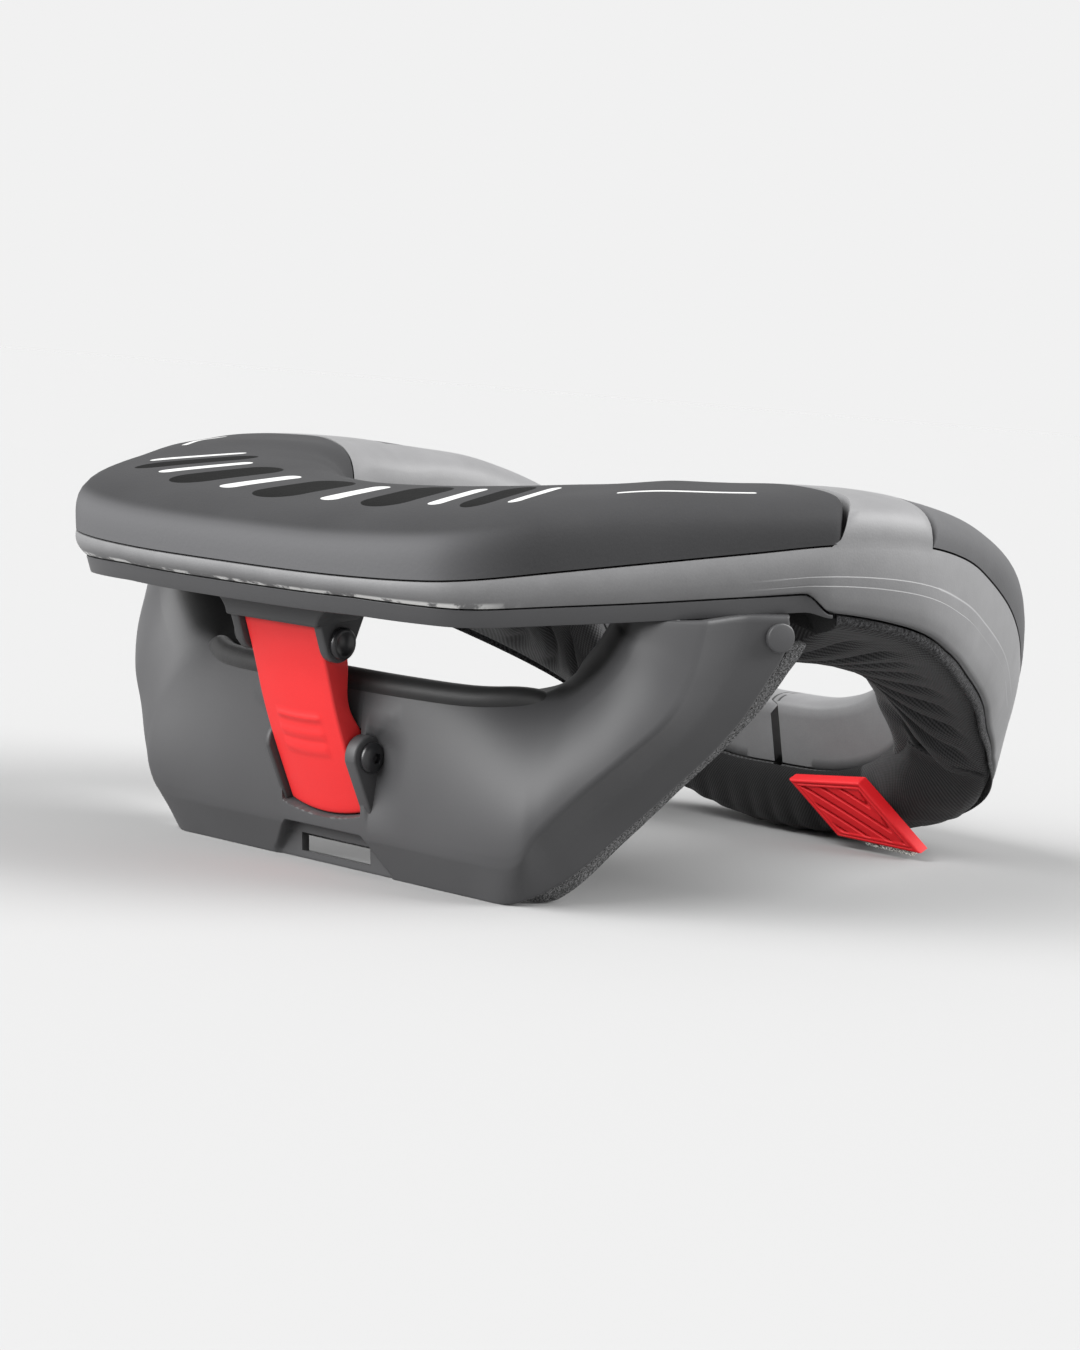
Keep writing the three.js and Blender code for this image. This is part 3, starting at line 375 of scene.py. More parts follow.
def closed_body(name, loops, marks=None):
    """Body through loops of points, with its ends capped."""
    marks = {key: ring_loop(values) for key, values in (marks or {}).items()}
    return skin(name, ring_loop(loops), capped=True, marks=marks)


def modify(obj, kind, **settings):
    """Adds a modifier with its settings and applies it."""
    choose(obj)
    bpy.ops.object.modifier_add(type=kind)
    modifier = obj.modifiers[-1]
    for key, value in settings.items():
        setattr(modifier, key, value)
    bpy.ops.object.modifier_apply(modifier=modifier.name)
    return obj


def bevel(obj, width, segments=3, angle=35):
    return modify(obj, "BEVEL", width=width * MM, segments=segments, limit_method="ANGLE",
                  angle_limit=math.radians(angle), harden_normals=False)


def subdivide(obj, levels):
    return modify(obj, "SUBSURF", levels=levels, render_levels=levels)


def prism(name, outline, x0, x1, width):
    """Slab of a YZ outline between two places along X, with rounded edges."""
    sides = [np.column_stack([np.full(len(outline), x), outline]) for x in (x0, x1)]
    return bevel(closed_body(name, np.stack(sides)), width)


def lathe(name, profile, centre, axis, turns=48):
    """Round body about an axis: profile rows are radius and place along the axis."""
    axis = unit(np.asarray(axis, float))
    side = unit(np.cross(axis, (0.3, 0.1, 0.9)))
    other = np.cross(axis, side)
    angle = np.linspace(0, 2 * math.pi, turns + 1)
    spoke = np.cos(angle)[:, None] * side + np.sin(angle)[:, None] * other
    profile = np.asarray(profile, float)
    points = (np.asarray(centre, float) + spoke[:, None] * profile[None, :, :1]
              + axis * profile[None, :, 1:])
    return skin(name, points)


def join(objects, name):
    deselect()
    for obj in objects:
        obj.select_set(True)
    bpy.context.view_layer.objects.active = objects[0]
    bpy.ops.object.join()
    objects[0].name = objects[0].data.name = name
    return objects[0]


def done(obj, slot, finish, *nodes, fill=None, angle=50):
    """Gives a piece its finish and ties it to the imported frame."""
    choose(obj)
    bpy.ops.object.shade_smooth_by_angle(angle=math.radians(angle))
    obj.data.materials.clear()
    obj.data.materials.append(finish)
    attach(obj, "root")
    if nodes:
        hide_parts(*nodes)


# Finishes

class Value:
    """A socket in a finish, with arithmetic that adds Math nodes."""

    def __init__(self, finish, socket):
        self.finish = finish
        self.socket = socket

    def math(self, operation, *others):
        return self.finish.node("ShaderNodeMath", {"operation": operation}, dict(enumerate((self, *others))))

    def __add__(self, other):
        return self.math("ADD", other)

    def __sub__(self, other):
        return self.math("SUBTRACT", other)

    def __mul__(self, other):
        return self.math("MULTIPLY", other)

    def __rsub__(self, other):
        return (self * -1) + other

    __radd__ = __add__

    def between(self, low, high):
        return self.finish.node("ShaderNodeMapRange", {"interpolation_type": "SMOOTHSTEP"},
                                {"Value": self, "From Min": low, "From Max": high})


class Finish:
    """A procedural material of one surface, made of nodes."""

    def __init__(self, name):
        self.material = bpy.data.materials.new(name)
        self.material.use_nodes = True
        self.tree = self.material.node_tree
        self.shader = self.tree.nodes["Principled BSDF"]

    def node(self, kind, settings=None, sockets=None, output=0):
        node = self.tree.nodes.new(kind)
        for key, value in (settings or {}).items():
            setattr(node, key, value)
        for key, value in (sockets or {}).items():
            self.feed(node.inputs[key], value)
        return Value(self, node.outputs[output])

    def feed(self, socket, value):
        if isinstance(value, Value):
            self.tree.links.new(value.socket, socket)
        else:
            socket.default_value = value

    def place(self):
        return self.node("ShaderNodeTexCoord", output="Object")

    def mark(self, name):
        return self.node("ShaderNodeAttribute", {"attribute_name": name}, output="Fac")

    def reach(self):
        """Distance from the front centre along the ring, in stations."""
        return self.mark("station").math("ABSOLUTE")

    def lengths(self):
        uv = self.node("ShaderNodeTexCoord", output="UV")
        return [self.node("ShaderNodeSeparateXYZ", sockets={0: uv}, output=k) for k in (0, 1)]

    def noise(self, size, detail=2.0, roughness=0.5):
        return self.node("ShaderNodeTexNoise", sockets={
            "Vector": self.place(), "Scale": 1 / (size * MM), "Detail": detail, "Roughness": roughness})

    def cells(self, size, feature="F1"):
        return self.node("ShaderNodeTexVoronoi", {"feature": feature}, {
            "Vector": self.place(), "Scale": 1 / (size * MM)})

    def blend(self, share, low, high):
        return self.node("ShaderNodeMix", {"data_type": "RGBA"}, {0: share, 6: low, 7: high}, output=2)

    def bump(self, height, strength, distance):
        return self.node("ShaderNodeBump", sockets={
            "Height": height, "Strength": strength, "Distance": distance * MM})

    def surface(self, colour, roughness, normal=None, **constants):
        self.feed(self.shader.inputs["Base Color"], colour)
        self.feed(self.shader.inputs["Roughness"], roughness)
        if normal is not None:
            self.feed(self.shader.inputs["Normal"], normal)
        for key, value in constants.items():
            self.shader.inputs[key.replace("_", " ")].default_value = value
        return self.material


def tone(colour, factor):
    """A colour made lighter or darker, with full alpha."""
    return (*(min(1, c * factor) for c in tuple(colour)[:3]), 1)


def foam_skin(colour, pale):
    """Skinned foam with pores and clouds; painted highlights along the front parting line and the side
    ledges, painted shade on its ends at the split.
    """
    finish = Finish("foam_skin")
    cloud = finish.noise(26, 3)
    streak = finish.noise(7, 4, 0.6)
    grain = finish.noise(0.55, 2)
    pores = finish.cells(0.9)
    shade = finish.blend(cloud * 0.4 + streak * 0.3 + grain * 0.3, tone(colour, 0.66), tone(colour, 1.36))
    height = finish.mark("wall")
    reach = finish.reach()
    # Painted highlights: thin pale lines along the side ledges, and pale flecks on the lower front wall
    # along the parting line.
    ledge = sum((height - place - 0.006).math("ABSOLUTE").between(0.012, 0.004) for place, _ in LEDGES)
    ledge = ledge * reach.between(6.2, 7) * reach.between(12, 10.5) * 0.13
    painted_highlight = height.between(0.5, 0.42) * reach.between(3.6, 2.8) * streak.between(0.44, 0.54)
    shade = finish.blend(painted_highlight.math("MAXIMUM", ledge), shade, tone(pale, 1.5))
    # Painted shade: the end caps at the split are made near black, as the shade in the split's gap.
    shade = finish.blend(reach.between(REAR - 0.02, REAR - 0.004), shade, tone(colour, 0.05))
    return finish.surface(shade, 0.47 + grain * 0.12, finish.bump(grain + pores * 0.5, 0.22, 0.12),
                          Specular_IOR_Level=0.35)


PAD_WIDTH = 85
STATION_STEP = 36
PAD_BARS = (
    # station, half width in millimetres, first and last place across, ink
    (0.0, 9, 0.32, 0.56, "dark"),
    (1.2, 9, 0.32, 0.56, "dark"),
    (2.4, 9, 0.32, 0.56, "dark"),
    (0.6, 3.2, 0.3, 0.58, "pale"),
    (1.8, 3.2, 0.3, 0.58, "pale"),
    (3.0, 3.2, 0.3, 0.58, "pale"),
)
PAD_LINE = {"place": 0.24, "half": 1.2, "start": 4.5, "end": 6.2}


def round_ended(over, aside, half):
    """1 inside a bar with round ends, from the lengths past its end and off its middle."""
    return (over * over + aside * aside).math("SQRT").between(half + 0.15, half - 0.15)


def beyond(value, low, high):
    return (value - high).math("MAXIMUM", low - value).math("MAXIMUM", 0)


def pad_motifs(finish, shade, inks):
    """Bars across the front of the pad and a thin line along each of its arms."""
    across = finish.mark("across")
    reach = finish.reach()
    for station, half, first, last, ink in PAD_BARS:
        bar = round_ended(beyond(across, first, last) * PAD_WIDTH, (reach - station) * STATION_STEP, half)
        shade = finish.blend(bar, shade, tone(inks[ink], 1))
    over = beyond(reach, PAD_LINE["start"], PAD_LINE["end"]) * STATION_STEP
    line = round_ended(over, (across - PAD_LINE["place"]) * PAD_WIDTH, PAD_LINE["half"])
    return finish.blend(line, shade, tone(inks["pale"], 1))


def pad_leather(colour, inks=None):
    """Grained skin; with inks, a highlight is painted pale along its lower front rounding and plain bars are
    printed on it.
    """
    finish = Finish("printed_pad_skin_painted_highlight" if inks else "pad_skin")
    grain = finish.cells(1.1, "SMOOTH_F1")
    fine = finish.noise(0.4, 3)
    cloud = finish.noise(30, 2)
    shade = finish.blend(cloud * 0.5 + fine * 0.5, tone(colour, 0.7), tone(colour, 1.3))
    if inks:
        # Painted highlight: the lower part of the front rounding is lightened where a lamp would glint on
        # it.
        painted_highlight = finish.mark("across").between(0.05, 0.001) * finish.reach().between(3.8, 2)
        shade = finish.blend(painted_highlight, shade, tone(colour, 2.6))
        shade = pad_motifs(finish, shade, inks)
    height = grain * 0.8 + fine * 0.35
    return finish.surface(shade, 0.54 + fine * 0.14, finish.bump(height, 0.3, 0.16), Specular_IOR_Level=0.03)


def moulded_plastic(name, colour, rough, speckle=0.3):
    """Satin plastic with a fine grain, with painted shade where a piece is marked as its inside."""
    finish = Finish(name)
    spark = finish.noise(speckle, 2, 0.6)
    cloud = finish.noise(45, 2)
    shade = finish.blend(cloud * 0.5 + spark * 0.5, tone(colour, 0.78), tone(colour, 1.22))
    # Painted shade: places marked as the inside, the plate's lip and back, are made dark.
    shade = finish.blend(finish.mark("inside"), shade, tone(colour, 0.12))
    return finish.surface(shade, rough + spark * 0.1, finish.bump(spark, 0.16, 0.06), Specular_IOR_Level=0.3)


def ribbed_knit(name, colour, pitch, end_colour=None):
    """Fine twill: two slanted waves along the cloth's own lengths, with fuzz between.

    With an end colour, the cloth takes that colour where it is marked as its end.
    """
    finish = Finish(name)
    length, width = finish.lengths()
    turn = 2 * math.pi / (pitch * MM)
    twill = ((length + width * 0.6) * turn).math("SINE") * 0.5 + 0.5
    thread = ((width - length * 0.35) * (turn * 1.7)).math("SINE") * 0.5 + 0.5
    fuzz = finish.noise(0.5, 3)
    cloud = finish.noise(18, 2)
    weave = twill * 0.65 + thread * 0.35
    light = weave * 0.8 + cloud * 0.2
    shade = finish.blend(light, tone(colour, 0.2), tone(colour, 3.2))
    if end_colour:
        end_shade = finish.blend(light, tone(end_colour, 0.2), tone(end_colour, 3.2))
        shade = finish.blend(finish.mark("end"), shade, end_shade)
    return finish.surface(shade, 0.86, finish.bump(weave + fuzz * 0.5, 0.55, 0.3),
                          Sheen_Weight=0.08, Sheen_Roughness=0.5, Specular_IOR_Level=0.12)


def satin_binding(colour):
    """Smooth woven binding with a soft shine."""
    finish = Finish("satin_binding")
    weave = finish.noise(0.35, 2)
    fold = finish.noise(6, 2)
    shade = finish.blend(fold, tone(colour, 0.25), tone(colour, 0.7))
    return finish.surface(shade, 0.5 + weave * 0.1, finish.bump(weave * 0.3 + fold, 0.25, 0.5),
                          Specular_IOR_Level=0.4, Sheen_Weight=0.1)


def fuzzy_tape(name, colour, size=0.9):
    """Loop tape or felt: pale fuzz over dark ground."""
    finish = Finish(name)
    fuzz = finish.noise(size, 4, 0.75)
    loops = finish.cells(size * 1.4)
    shade = finish.blend(fuzz.between(0.4, 0.64), tone(colour, 0.3), tone(colour, 2.4))
    return finish.surface(shade, 0.96, finish.bump(fuzz + loops, 1.0, 0.6), Sheen_Weight=0.1,
                          Specular_IOR_Level=0.1)


def black_steel(colour):
    """Smooth black metal with faint marks."""
    finish = Finish("black_steel")
    marks = finish.noise(1.6, 3)
    return finish.surface(tone(colour, 1), 0.26 + marks * 0.16, finish.bump(marks, 0.05, 0.05),
                          Specular_IOR_Level=0.6)


# Panel values

class CollarSizes(bpy.types.PropertyGroup):
    """Sizes that a user would change."""

    rounding: bpy.props.FloatProperty(
        name="Edge rounding", description="Rounding of moulded edges, in millimetres", default=1.1,
        min=0.2, max=3)
    twill: bpy.props.FloatProperty(
        name="Twill pitch", description="Pitch of the padding's twill, in millimetres", default=1.7,
        min=0.5, max=4)
    key_power: bpy.props.FloatProperty(
        name="Key light", description="Strength of the main lamp", default=7.8, min=0)


def colour_property(name, default):
    return bpy.props.FloatVectorProperty(
        name=name, description=f"Base colour of the {name.lower()}", subtype="COLOR", size=3,
        default=default, min=0, max=1)


class CollarColours(bpy.types.PropertyGroup):
    """Colours of the collar's finishes, linear."""

    foam: colour_property("Foam ring", (0.12, 0.12, 0.122))
    pad: colour_property("Front pad", (0.031, 0.031, 0.032))
    rear_pad: colour_property("Rear pads", (0.078, 0.078, 0.08))
    # The pale stripes' colour is also used for the painted highlights on the foam.
    stripe_and_highlight: colour_property("Pale stripes", (0.36, 0.36, 0.355))
    band: colour_property("Dark band", (0.003, 0.003, 0.003))
    plastic: colour_property("Moulded plastic", (0.042, 0.042, 0.0435))
    strut: colour_property("Strut", (0.52, 0.02, 0.021))
    tab: colour_property("Pull tab", (0.5, 0.006, 0.01))
    knit: colour_property("Padding", (0.019, 0.019, 0.0195))
    tape: colour_property("Loop tape", (0.02, 0.02, 0.021))
    felt: colour_property("Felt edge", (0.06, 0.06, 0.061))
    steel: colour_property("Black steel", (0.008, 0.008, 0.009))
    patch: colour_property("Hook patch", (0.4, 0.4, 0.375))


def sizes():
    return bpy.context.scene.collar_sizes


def colours():
    return bpy.context.scene.collar_colours


# Ring pieces

def fine(low, high, count, ease=0.0):
    """Places between two ends, closer together towards both of them by ease."""
    s = np.linspace(0, 1, count)
    return low + (high - low) * (s + ease * np.sin(-2 * math.pi * s) / (2 * math.pi))


class ShellStations:
    """Stations of the ring's skin and how far its top rises there, for places t across."""

    def __init__(self, t):
        self.t = t
        inner = smooth(t, REAR_PAD["seat"], REAR_PAD["seat"] + 0.05)
        lift = fine(0, 1, 5)
        edge = np.sqrt(1 - (1 - lift)**2)
        self.rows = []
        end = pad_end(t) - pad_corner(t)
        for s in np.linspace(0, 1, 90):
            self.add(s * end, 0)
        for way, rise in zip(lift, edge):
            self.add(end + GROOVE["gap"] + GROOVE["wide"] * way, rise)
        start, stop = end + GROOVE["clear"] + GROOVE["wide"], REAR_PAD["start"] - GROOVE["wide"]
        for s in np.linspace(0.1, 0.9, 12):
            self.add(start + (stop - start) * s, 1)
        for way, rise in zip(lift[::-1], edge[::-1]):
            self.add(REAR_PAD["start"] - GROOVE["wide"] * way, np.maximum(rise, inner))
        for s in np.linspace(0.002, 0.998, 110):
            self.add(REAR_PAD["start"] + (REAR_PAD["end"] - REAR_PAD["start"]) * s, inner)
        for way, rise in zip(lift, edge):
            self.add(REAR_PAD["end"] + GROOVE["rear"] * way, np.maximum(rise, inner))
        start = REAR_PAD["end"] + GROOVE["rear"]
        for s in np.linspace(0.1, 1, 14):
            self.add(start + (REAR - start) * s, 1)

    def add(self, station, rise):
        self.rows.append((station + 0 * self.t, rise + 0 * self.t))

    def arrays(self):
        """Stations on both sides of the middle and the rises there."""
        station = np.array([row[0] for row in self.rows])
        rise = np.array([row[1] for row in self.rows])
        return both_sides(station), np.concatenate([rise[:0:-1], rise])


SHOULDER = (0, 0.0002, 0.001, 0.004, 0.012)


def shell_parts():
    """Blocks of the loop round the ring: outer wall, top, neck wall and underside, each with its places."""
    ledge = np.concatenate([place + np.array((-0.015, 0, 0.01, 0.025)) for place, _ in LEDGES])
    wall = np.concatenate([(0.015, 0.04, 0.08), np.linspace(0.14, 0.36, 4), ledge[:4], (0.49,), ledge[4:],
                           np.linspace(0.64, 0.94, 5)])
    top = np.concatenate([SHOULDER, fine(0.025, 0.66, 22, 0.3), fine(0.68, 0.78, 8), fine(0.8, 1, 14, 0.6)])
    neck = np.linspace(0, 1, 7)[1:-1]
    below = np.concatenate([np.linspace(1, 0.06, 9), (0.03, 0.015, 0)])
    return ((outer_wall, wall, 0 * wall), (crown, top, top), (neck_wall, neck, 0 * neck + 1),
            (sole, below, below))


def whole_underside(u, t, drop=0):
    """Underside on both sides, with its step at the tray's end, below by drop."""
    return signed(lambda a: underside(a, t, 0 * a + drop, tray_share(a, t)), u)


def outward(u):
    """Outward direction of the ring's section, for stations on both sides."""
    return signed(lambda a: section(a)[1], u)


def upward(u):
    """Upward direction of the ring's section, for stations on both sides."""
    return signed(lambda a: section(a)[2], u)


def foot_round(t, part):
    """Rounding of the ring's lower outer edge, for a place t up the wall or across the sole."""
    return FOOT_ROUND["size"] * (1 - np.clip(t / FOOT_ROUND[part], 0, 1))**2


def outer_wall(u, t, rise):
    """Wall between foot and shoulder, bulged, with two moulded ledges along the sides."""
    foot, top, out = whole_underside(u, 0 * t), signed(roof, u, 0 * t, 0 * t), outward(u)
    whole = signed(underside, u, 0 * t, 0 * t, 0 * t + 1)
    taller = np.linalg.norm(whole - top, axis=-1) / np.linalg.norm(foot - top, axis=-1)
    taller = np.clip(taller, 1, 1.5)
    lower = t / LEDGE_FLOOR * (1 - (1 - LEDGE_FLOOR) * taller)
    share = np.where(t > LEDGE_FLOOR, 1 - (1 - t) * taller, lower)
    reach = smooth(np.abs(u), LEDGE_REACH["start"], LEDGE_REACH["full"])
    reach = reach * (1 - smooth(np.abs(u), LEDGE_REACH["fade"], LEDGE_REACH["end"]))
    ledge = sum(size * (smooth(t, 0, 0.2) - smooth(t, place, place + 0.01)) for place, size in LEDGES)
    swell = WALL_BULGE * 4 * share * (1 - share) + reach * ledge - foot_round(t, "wall")
    points = foot + (top - foot) * share[..., None] + out * swell[..., None]
    points[..., 2] += foot_round(t, "wall")
    return points


def crown(u, t, rise):
    return signed(roof, u, t, rise)


def neck_wall(u, t, rise):
    """Neck wall from the top's edge down to the underside."""
    top, heel = signed(roof, u, 0 * t + 1, 0 * t), whole_underside(u, 0 * t + 1)
    return top + (heel - top) * t[..., None]


def sole(u, t, rise):
    points = whole_underside(u, t) - outward(u) * foot_round(t, "sole")[..., None]
    points[..., 2] += foot_round(t, "sole")
    return points


def shell_points():
    """The ring's loops with their stations, and the share of the outer wall's height (2 off the wall)."""
    points, stations, walls = [], [], []
    for shape, places, seats in shell_parts():
        station, rise = ShellStations(seats).arrays()
        t = np.broadcast_to(places, station.shape)
        points.append(shape(station, t, rise))
        stations.append(station)
        walls.append(t if shape is outer_wall else 0 * t + 2)
    station = np.concatenate(stations, axis=1)
    marks = {"station": station, "wall": np.concatenate(walls, axis=1)}
    return keep_split(np.concatenate(points, axis=1), station), marks


class COLLAR_OT_shell(bpy.types.Operator):
    """Models the grey foam ring, split at the back."""

    bl_idname = "collar.shell"
    bl_label = "Foam ring"

    def execute(self, context):
        points, marks = shell_points()
        shell = closed_body("collar_shell", points, marks)
        done(shell, "foam", foam_skin(colours().foam, colours().stripe_and_highlight), "collar_shell")
        return {"FINISHED"}


def end_rise(distance, radius):
    """Rounded fall of a pad's top towards its end."""
    return np.sqrt(np.clip(1 - np.clip(1 - distance / radius, 0, 1)**2.4, 0, 1))


PAD_EDGE = (0, 0.00003, 0.0002, 0.0008, 0.0025, 0.006, 0.013, 0.025)


def pad_loops(station, t, rise):
    """Loops of a pad, its crowned top and then its base on the seat, and marks of the places on its top."""
    top, up = signed(roof, station, t, rise), upward(station)
    seat = signed(roof, station, t, 0 * t) + up * SEAT_GAP
    higher = np.sum((top - seat) * up, axis=-1) > 0
    base = seat[:, -2:0:-4]
    points = np.concatenate([np.where(higher[..., None], top, seat), base], axis=1)
    marks = {key: np.concatenate([values, np.zeros(base.shape[:2])], axis=1)
             for key, values in (("station", station), ("across", t))}
    return points, marks


class COLLAR_OT_pads(bpy.types.Operator):
    """Models the padded top of the front platform and the two inlaid rear pads."""

    bl_idname = "collar.pads"
    bl_label = "Top pads"

    def execute(self, context):
        colour = colours()
        inks = {"dark": colour.band, "pale": colour.stripe_and_highlight}
        self.front(pad_leather(colour.pad, inks))
        skin_finish = pad_leather(colour.rear_pad)
        for name, side in (("rear_pad_left", 1), ("rear_pad_right", -1)):
            self.rear(name, side, skin_finish)
        return {"FINISHED"}

    def front(self, finish):
        t = np.concatenate([PAD_EDGE, fine(0.05, 0.95, 44), 1 - np.array(PAD_EDGE[::-1])])
        share, t = grid(both_sides(np.concatenate([fine(0, 0.93, 100), fine(0.935, 1, 16)])), t)
        end = pad_end(t) - pad_corner(t) - PAD_GAP
        self.pad("front_pad", share * end, t, end_rise((1 - np.abs(share)) * end, PAD_FALL), finish)

    def rear(self, name, side, finish):
        edge = REAR_PAD["seat"] - REAR_PAD["side_gap"]
        t = np.concatenate([PAD_EDGE, fine(0.05, edge - 0.05, 24),
                            edge - np.array([0.035, 0.022, 0.012, 0.005, 0])])
        share = np.concatenate([fine(0, 0.04, 9)[:-1], fine(0.04, 0.96, 110), fine(0.96, 1, 9)[1:]])
        start, end = REAR_PAD["start"] + REAR_PAD["gap"], REAR_PAD["end"] - REAR_PAD["gap"]
        station, t = grid(start + (end - start) * share, t)
        fall = end_rise(np.minimum(station - start, end - station), REAR_PAD["fall"])
        fall = fall * end_rise(edge - t, REAR_PAD["side_fall"])
        self.pad(name, side * station, t, fall, finish)

    def pad(self, name, station, t, rise, finish):
        points, marks = pad_loops(station, t, rise)
        done(closed_body(name, points, marks), "pad_skin", finish, name, fill=PAD_FILL)


class COLLAR_OT_carrier(bpy.types.Operator):
    """Models the stiff tray under the platform, with the strut's housing and its two ears."""

    bl_idname = "collar.carrier"
    bl_label = "Carrier"

    def execute(self, context):
        finish = moulded_plastic("carrier_plastic", colours().plastic, 0.42)
        pieces = [self.tray(), self.bridge()]
        for x0, x1 in ((EAR["inside"], EAR["outside"]), (-EAR["outside"], -EAR["inside"])):
            pieces.append(prism("ear", self.ear_outline(), x0, x1, 0.7))
        for side in (1, -1):
            pieces.append(self.lug(side))
        done(join(pieces, "carrier"), "plastic", finish, "carrier")
        return {"FINISHED"}

    def tray(self):
        share, t = grid(fine(-1, 1, 221), np.linspace(0, 1, 9))
        station = share * (pad_end(t) - TRAY["short"])
        thin = 1 - TRAY["thin"] * tray_share(np.abs(station), t)
        top = whole_underside(station, t, TRAY["gap"])
        sole = whole_underside(station, t, np.where(t == 0, TRAY["edge"], TRAY["thick"]) * thin)
        sole[:, 0] -= outward(station)[:, 0] * TRAY["draw"] * thin[:, :1]
        points = np.concatenate([top[:, ::-1], sole], axis=1)
        return bevel(closed_body("tray", points), sizes().rounding, angle=50)

    def bridge(self):
        half, flare, bottom, top = (HOUSING[k] for k in ("half", "flare", "bottom", "top"))
        s = np.linspace(0, 1, 12)
        curve = np.column_stack([half + flare * (1 - s)**2.2, top - (top - bottom) * s**0.75])
        outline = np.vstack([curve, curve[::-1] * (-1, 1)])
        rows = [np.column_stack([outline[:, 0], np.full(len(outline), y), outline[:, 1]])
                for y in (HOUSING["front"], HOUSING["back"])]
        return bevel(closed_body("bridge", np.stack(rows)), sizes().rounding, angle=40)

    def ear_outline(self):
        """Teardrop round the pin, broad where it leaves the tray."""
        y, z = PIN_CENTRE[1:]
        angle = np.radians(np.linspace(195, 340, 24))
        arc = np.column_stack([y + EAR["round"] * np.cos(angle), z + EAR["round"] * np.sin(angle)])
        front, back = (HOUSING["front"] + 0.4, HOUSING["bottom"] + 5), (EAR["back"], HOUSING["bottom"] + 6)
        return np.vstack([front, arc, back])

    def lug(self, side):
        """Block behind the top of a wing that holds its rivet."""
        centre, normal, along_wing = rivet_frame()
        half, low, high = LUG["half"], LUG["low"], LUG["high"]
        corners = []
        for depth in (PLATE_THICK + LUG["near"], PLATE_THICK + LUG["far"]):
            for x, z in ((-half, low), (half, low), (half, high), (-half, high)):
                corners.append(centre - normal * depth + along_wing * x + np.array((0, 0, z)))
        points = np.array(corners).reshape(2, 4, 3)
        points[..., 0] *= side
        return bevel(closed_body("lug", points), 0.6)


# Strut and its fasteners

def strut_line(count):
    """Front, height and thickness of the strut from its pinned end down."""
    row = along(STRUT, np.linspace(0, len(STRUT) - 1, count), straight=(True, True))
    return row[:, 0], row[:, 1], row[:, 2]


def strut_back(z):
    """Back of the strut at a height."""
    front, height, thick = strut_line(60)
    return np.interp(z, height[::-1], (front + thick)[::-1])


class COLLAR_OT_strut(bpy.types.Operator):
    """Models the red brace between carrier and chest plate."""

    bl_idname = "collar.strut"
    bl_label = "Strut"

    def execute(self, context):
        front, height, thick = strut_line(40)
        across = np.linspace(-1, 1, 41)
        share = (height[0] - height) / (height[0] - height[-1])
        arch = STRUT_SAG * across[:, None]**2 * share
        level = height + arch
        crown = STRUT_CROWN * (1 - across[:, None]**2) * smooth(share, 0, 0.2)
        ridge = self.grip(share, across[:, None])
        side = across[:, None] * STRUT_HALF + 0 * level
        face = np.stack([side, front - crown - ridge, level], -1)
        back = np.stack([side, front + thick + 0 * level, level], -1)
        points = np.concatenate([face, back[:, ::-1]], axis=1)
        body = bevel(closed_body("strut", points), sizes().rounding, angle=50)
        done(body, "red_plastic", moulded_plastic("red_plastic", colours().strut, 0.4), "strut")
        return {"FINISHED"}

    def grip(self, share, across):
        """Plain raised bars across the lower half of the strut."""
        bars = sum(smooth(GRIP["half"] - np.abs(share - place), 0, GRIP["soft"]) for place in GRIP["places"])
        return GRIP["height"] * bars * smooth(GRIP["reach"] - np.abs(across), 0, 0.08)


class COLLAR_OT_fasteners(bpy.types.Operator):
    """Models the strut's pin and bolt and the rivets of the wings."""

    bl_idname = "collar.fasteners"
    bl_label = "Pin, bolt and rivets"

    def execute(self, context):
        steel = black_steel(colours().steel)
        done(self.pin(), "steel", steel, "strut_pin")
        done(self.bolt(), "steel", steel, "strut_bolt")
        plastic = moulded_plastic("rivet_plastic", colours().plastic, 0.35)
        centre, normal, _ = rivet_frame()
        for name, side in (("wing_rivet_left", 1), ("wing_rivet_right", -1)):
            mirror = np.array((side, 1, 1))
            done(self.rivet(name, centre * mirror, normal * mirror), "plastic", plastic, name)
        return {"FINISHED"}

    def pin(self):
        reach = EAR["outside"] + 0.35
        radius, thick = PIN["radius"], PIN["thick"]
        top = reach + thick
        head = [(3, reach), (radius - 0.3, reach), (radius, reach + 0.3), (radius, top - 0.5),
                (radius - 0.5, top), (radius - 1.4, top), (radius - 1.7, top - 0.35), (0, top - 0.35)]
        other = [(r, -a) for r, a in head[::-1]]
        return lathe("strut_pin", other + head, PIN_CENTRE, (1, 0, 0))

    def bolt(self):
        seat = BOSS_HALF + 0.35
        radius, thick = BOLT["radius"], BOLT["thick"]
        angle = np.linspace(0, math.pi / 2, 9)
        dome = [(radius * math.cos(a), seat + thick * (0.25 + 0.75 * math.sin(a))) for a in angle]
        tip = 0.4 - BOSS_HALF
        profile = [(0, tip), (2.5, tip), (2.5, seat), (radius - 0.2, seat), *dome[:-1], (0, seat + thick)]
        body = lathe("strut_bolt", profile, (0, BOLT["y"], BOLT["z"]), (1, 0, 0))
        socket = lathe("socket", [(0, seat + 0.7), (1.75, seat + 0.7), (1.75, seat + 4), (0, seat + 4)],
                       (0, BOLT["y"], BOLT["z"]), (1, 0, 0), turns=6)
        modify(body, "BOOLEAN", object=socket, operation="DIFFERENCE", solver="EXACT")
        bpy.data.objects.remove(socket)
        return bevel(body, 0.18, 2, 45)

    def rivet(self, name, centre, normal):
        radius, thick = RIVET["radius"], RIVET["thick"]
        tip = -PLATE_THICK - 5.5
        profile = [(0, tip), (2.4, tip), (2.4, 0.15), (radius, 0.15), (radius, thick - 0.55),
                   (radius - 0.25, thick - 0.15), (radius - 0.7, thick), (0, thick + 0.1)]
        return lathe(name, profile, centre, normal)


# Chest plate

def lip_back(r):
    """Direction from the window's edge back over its lip, turned inwards along the wing."""
    turn = LIP["turn"] * smooth(r, 1.5, 6)
    return np.stack([-np.sin(turn), np.cos(turn), 0 * turn], -1)


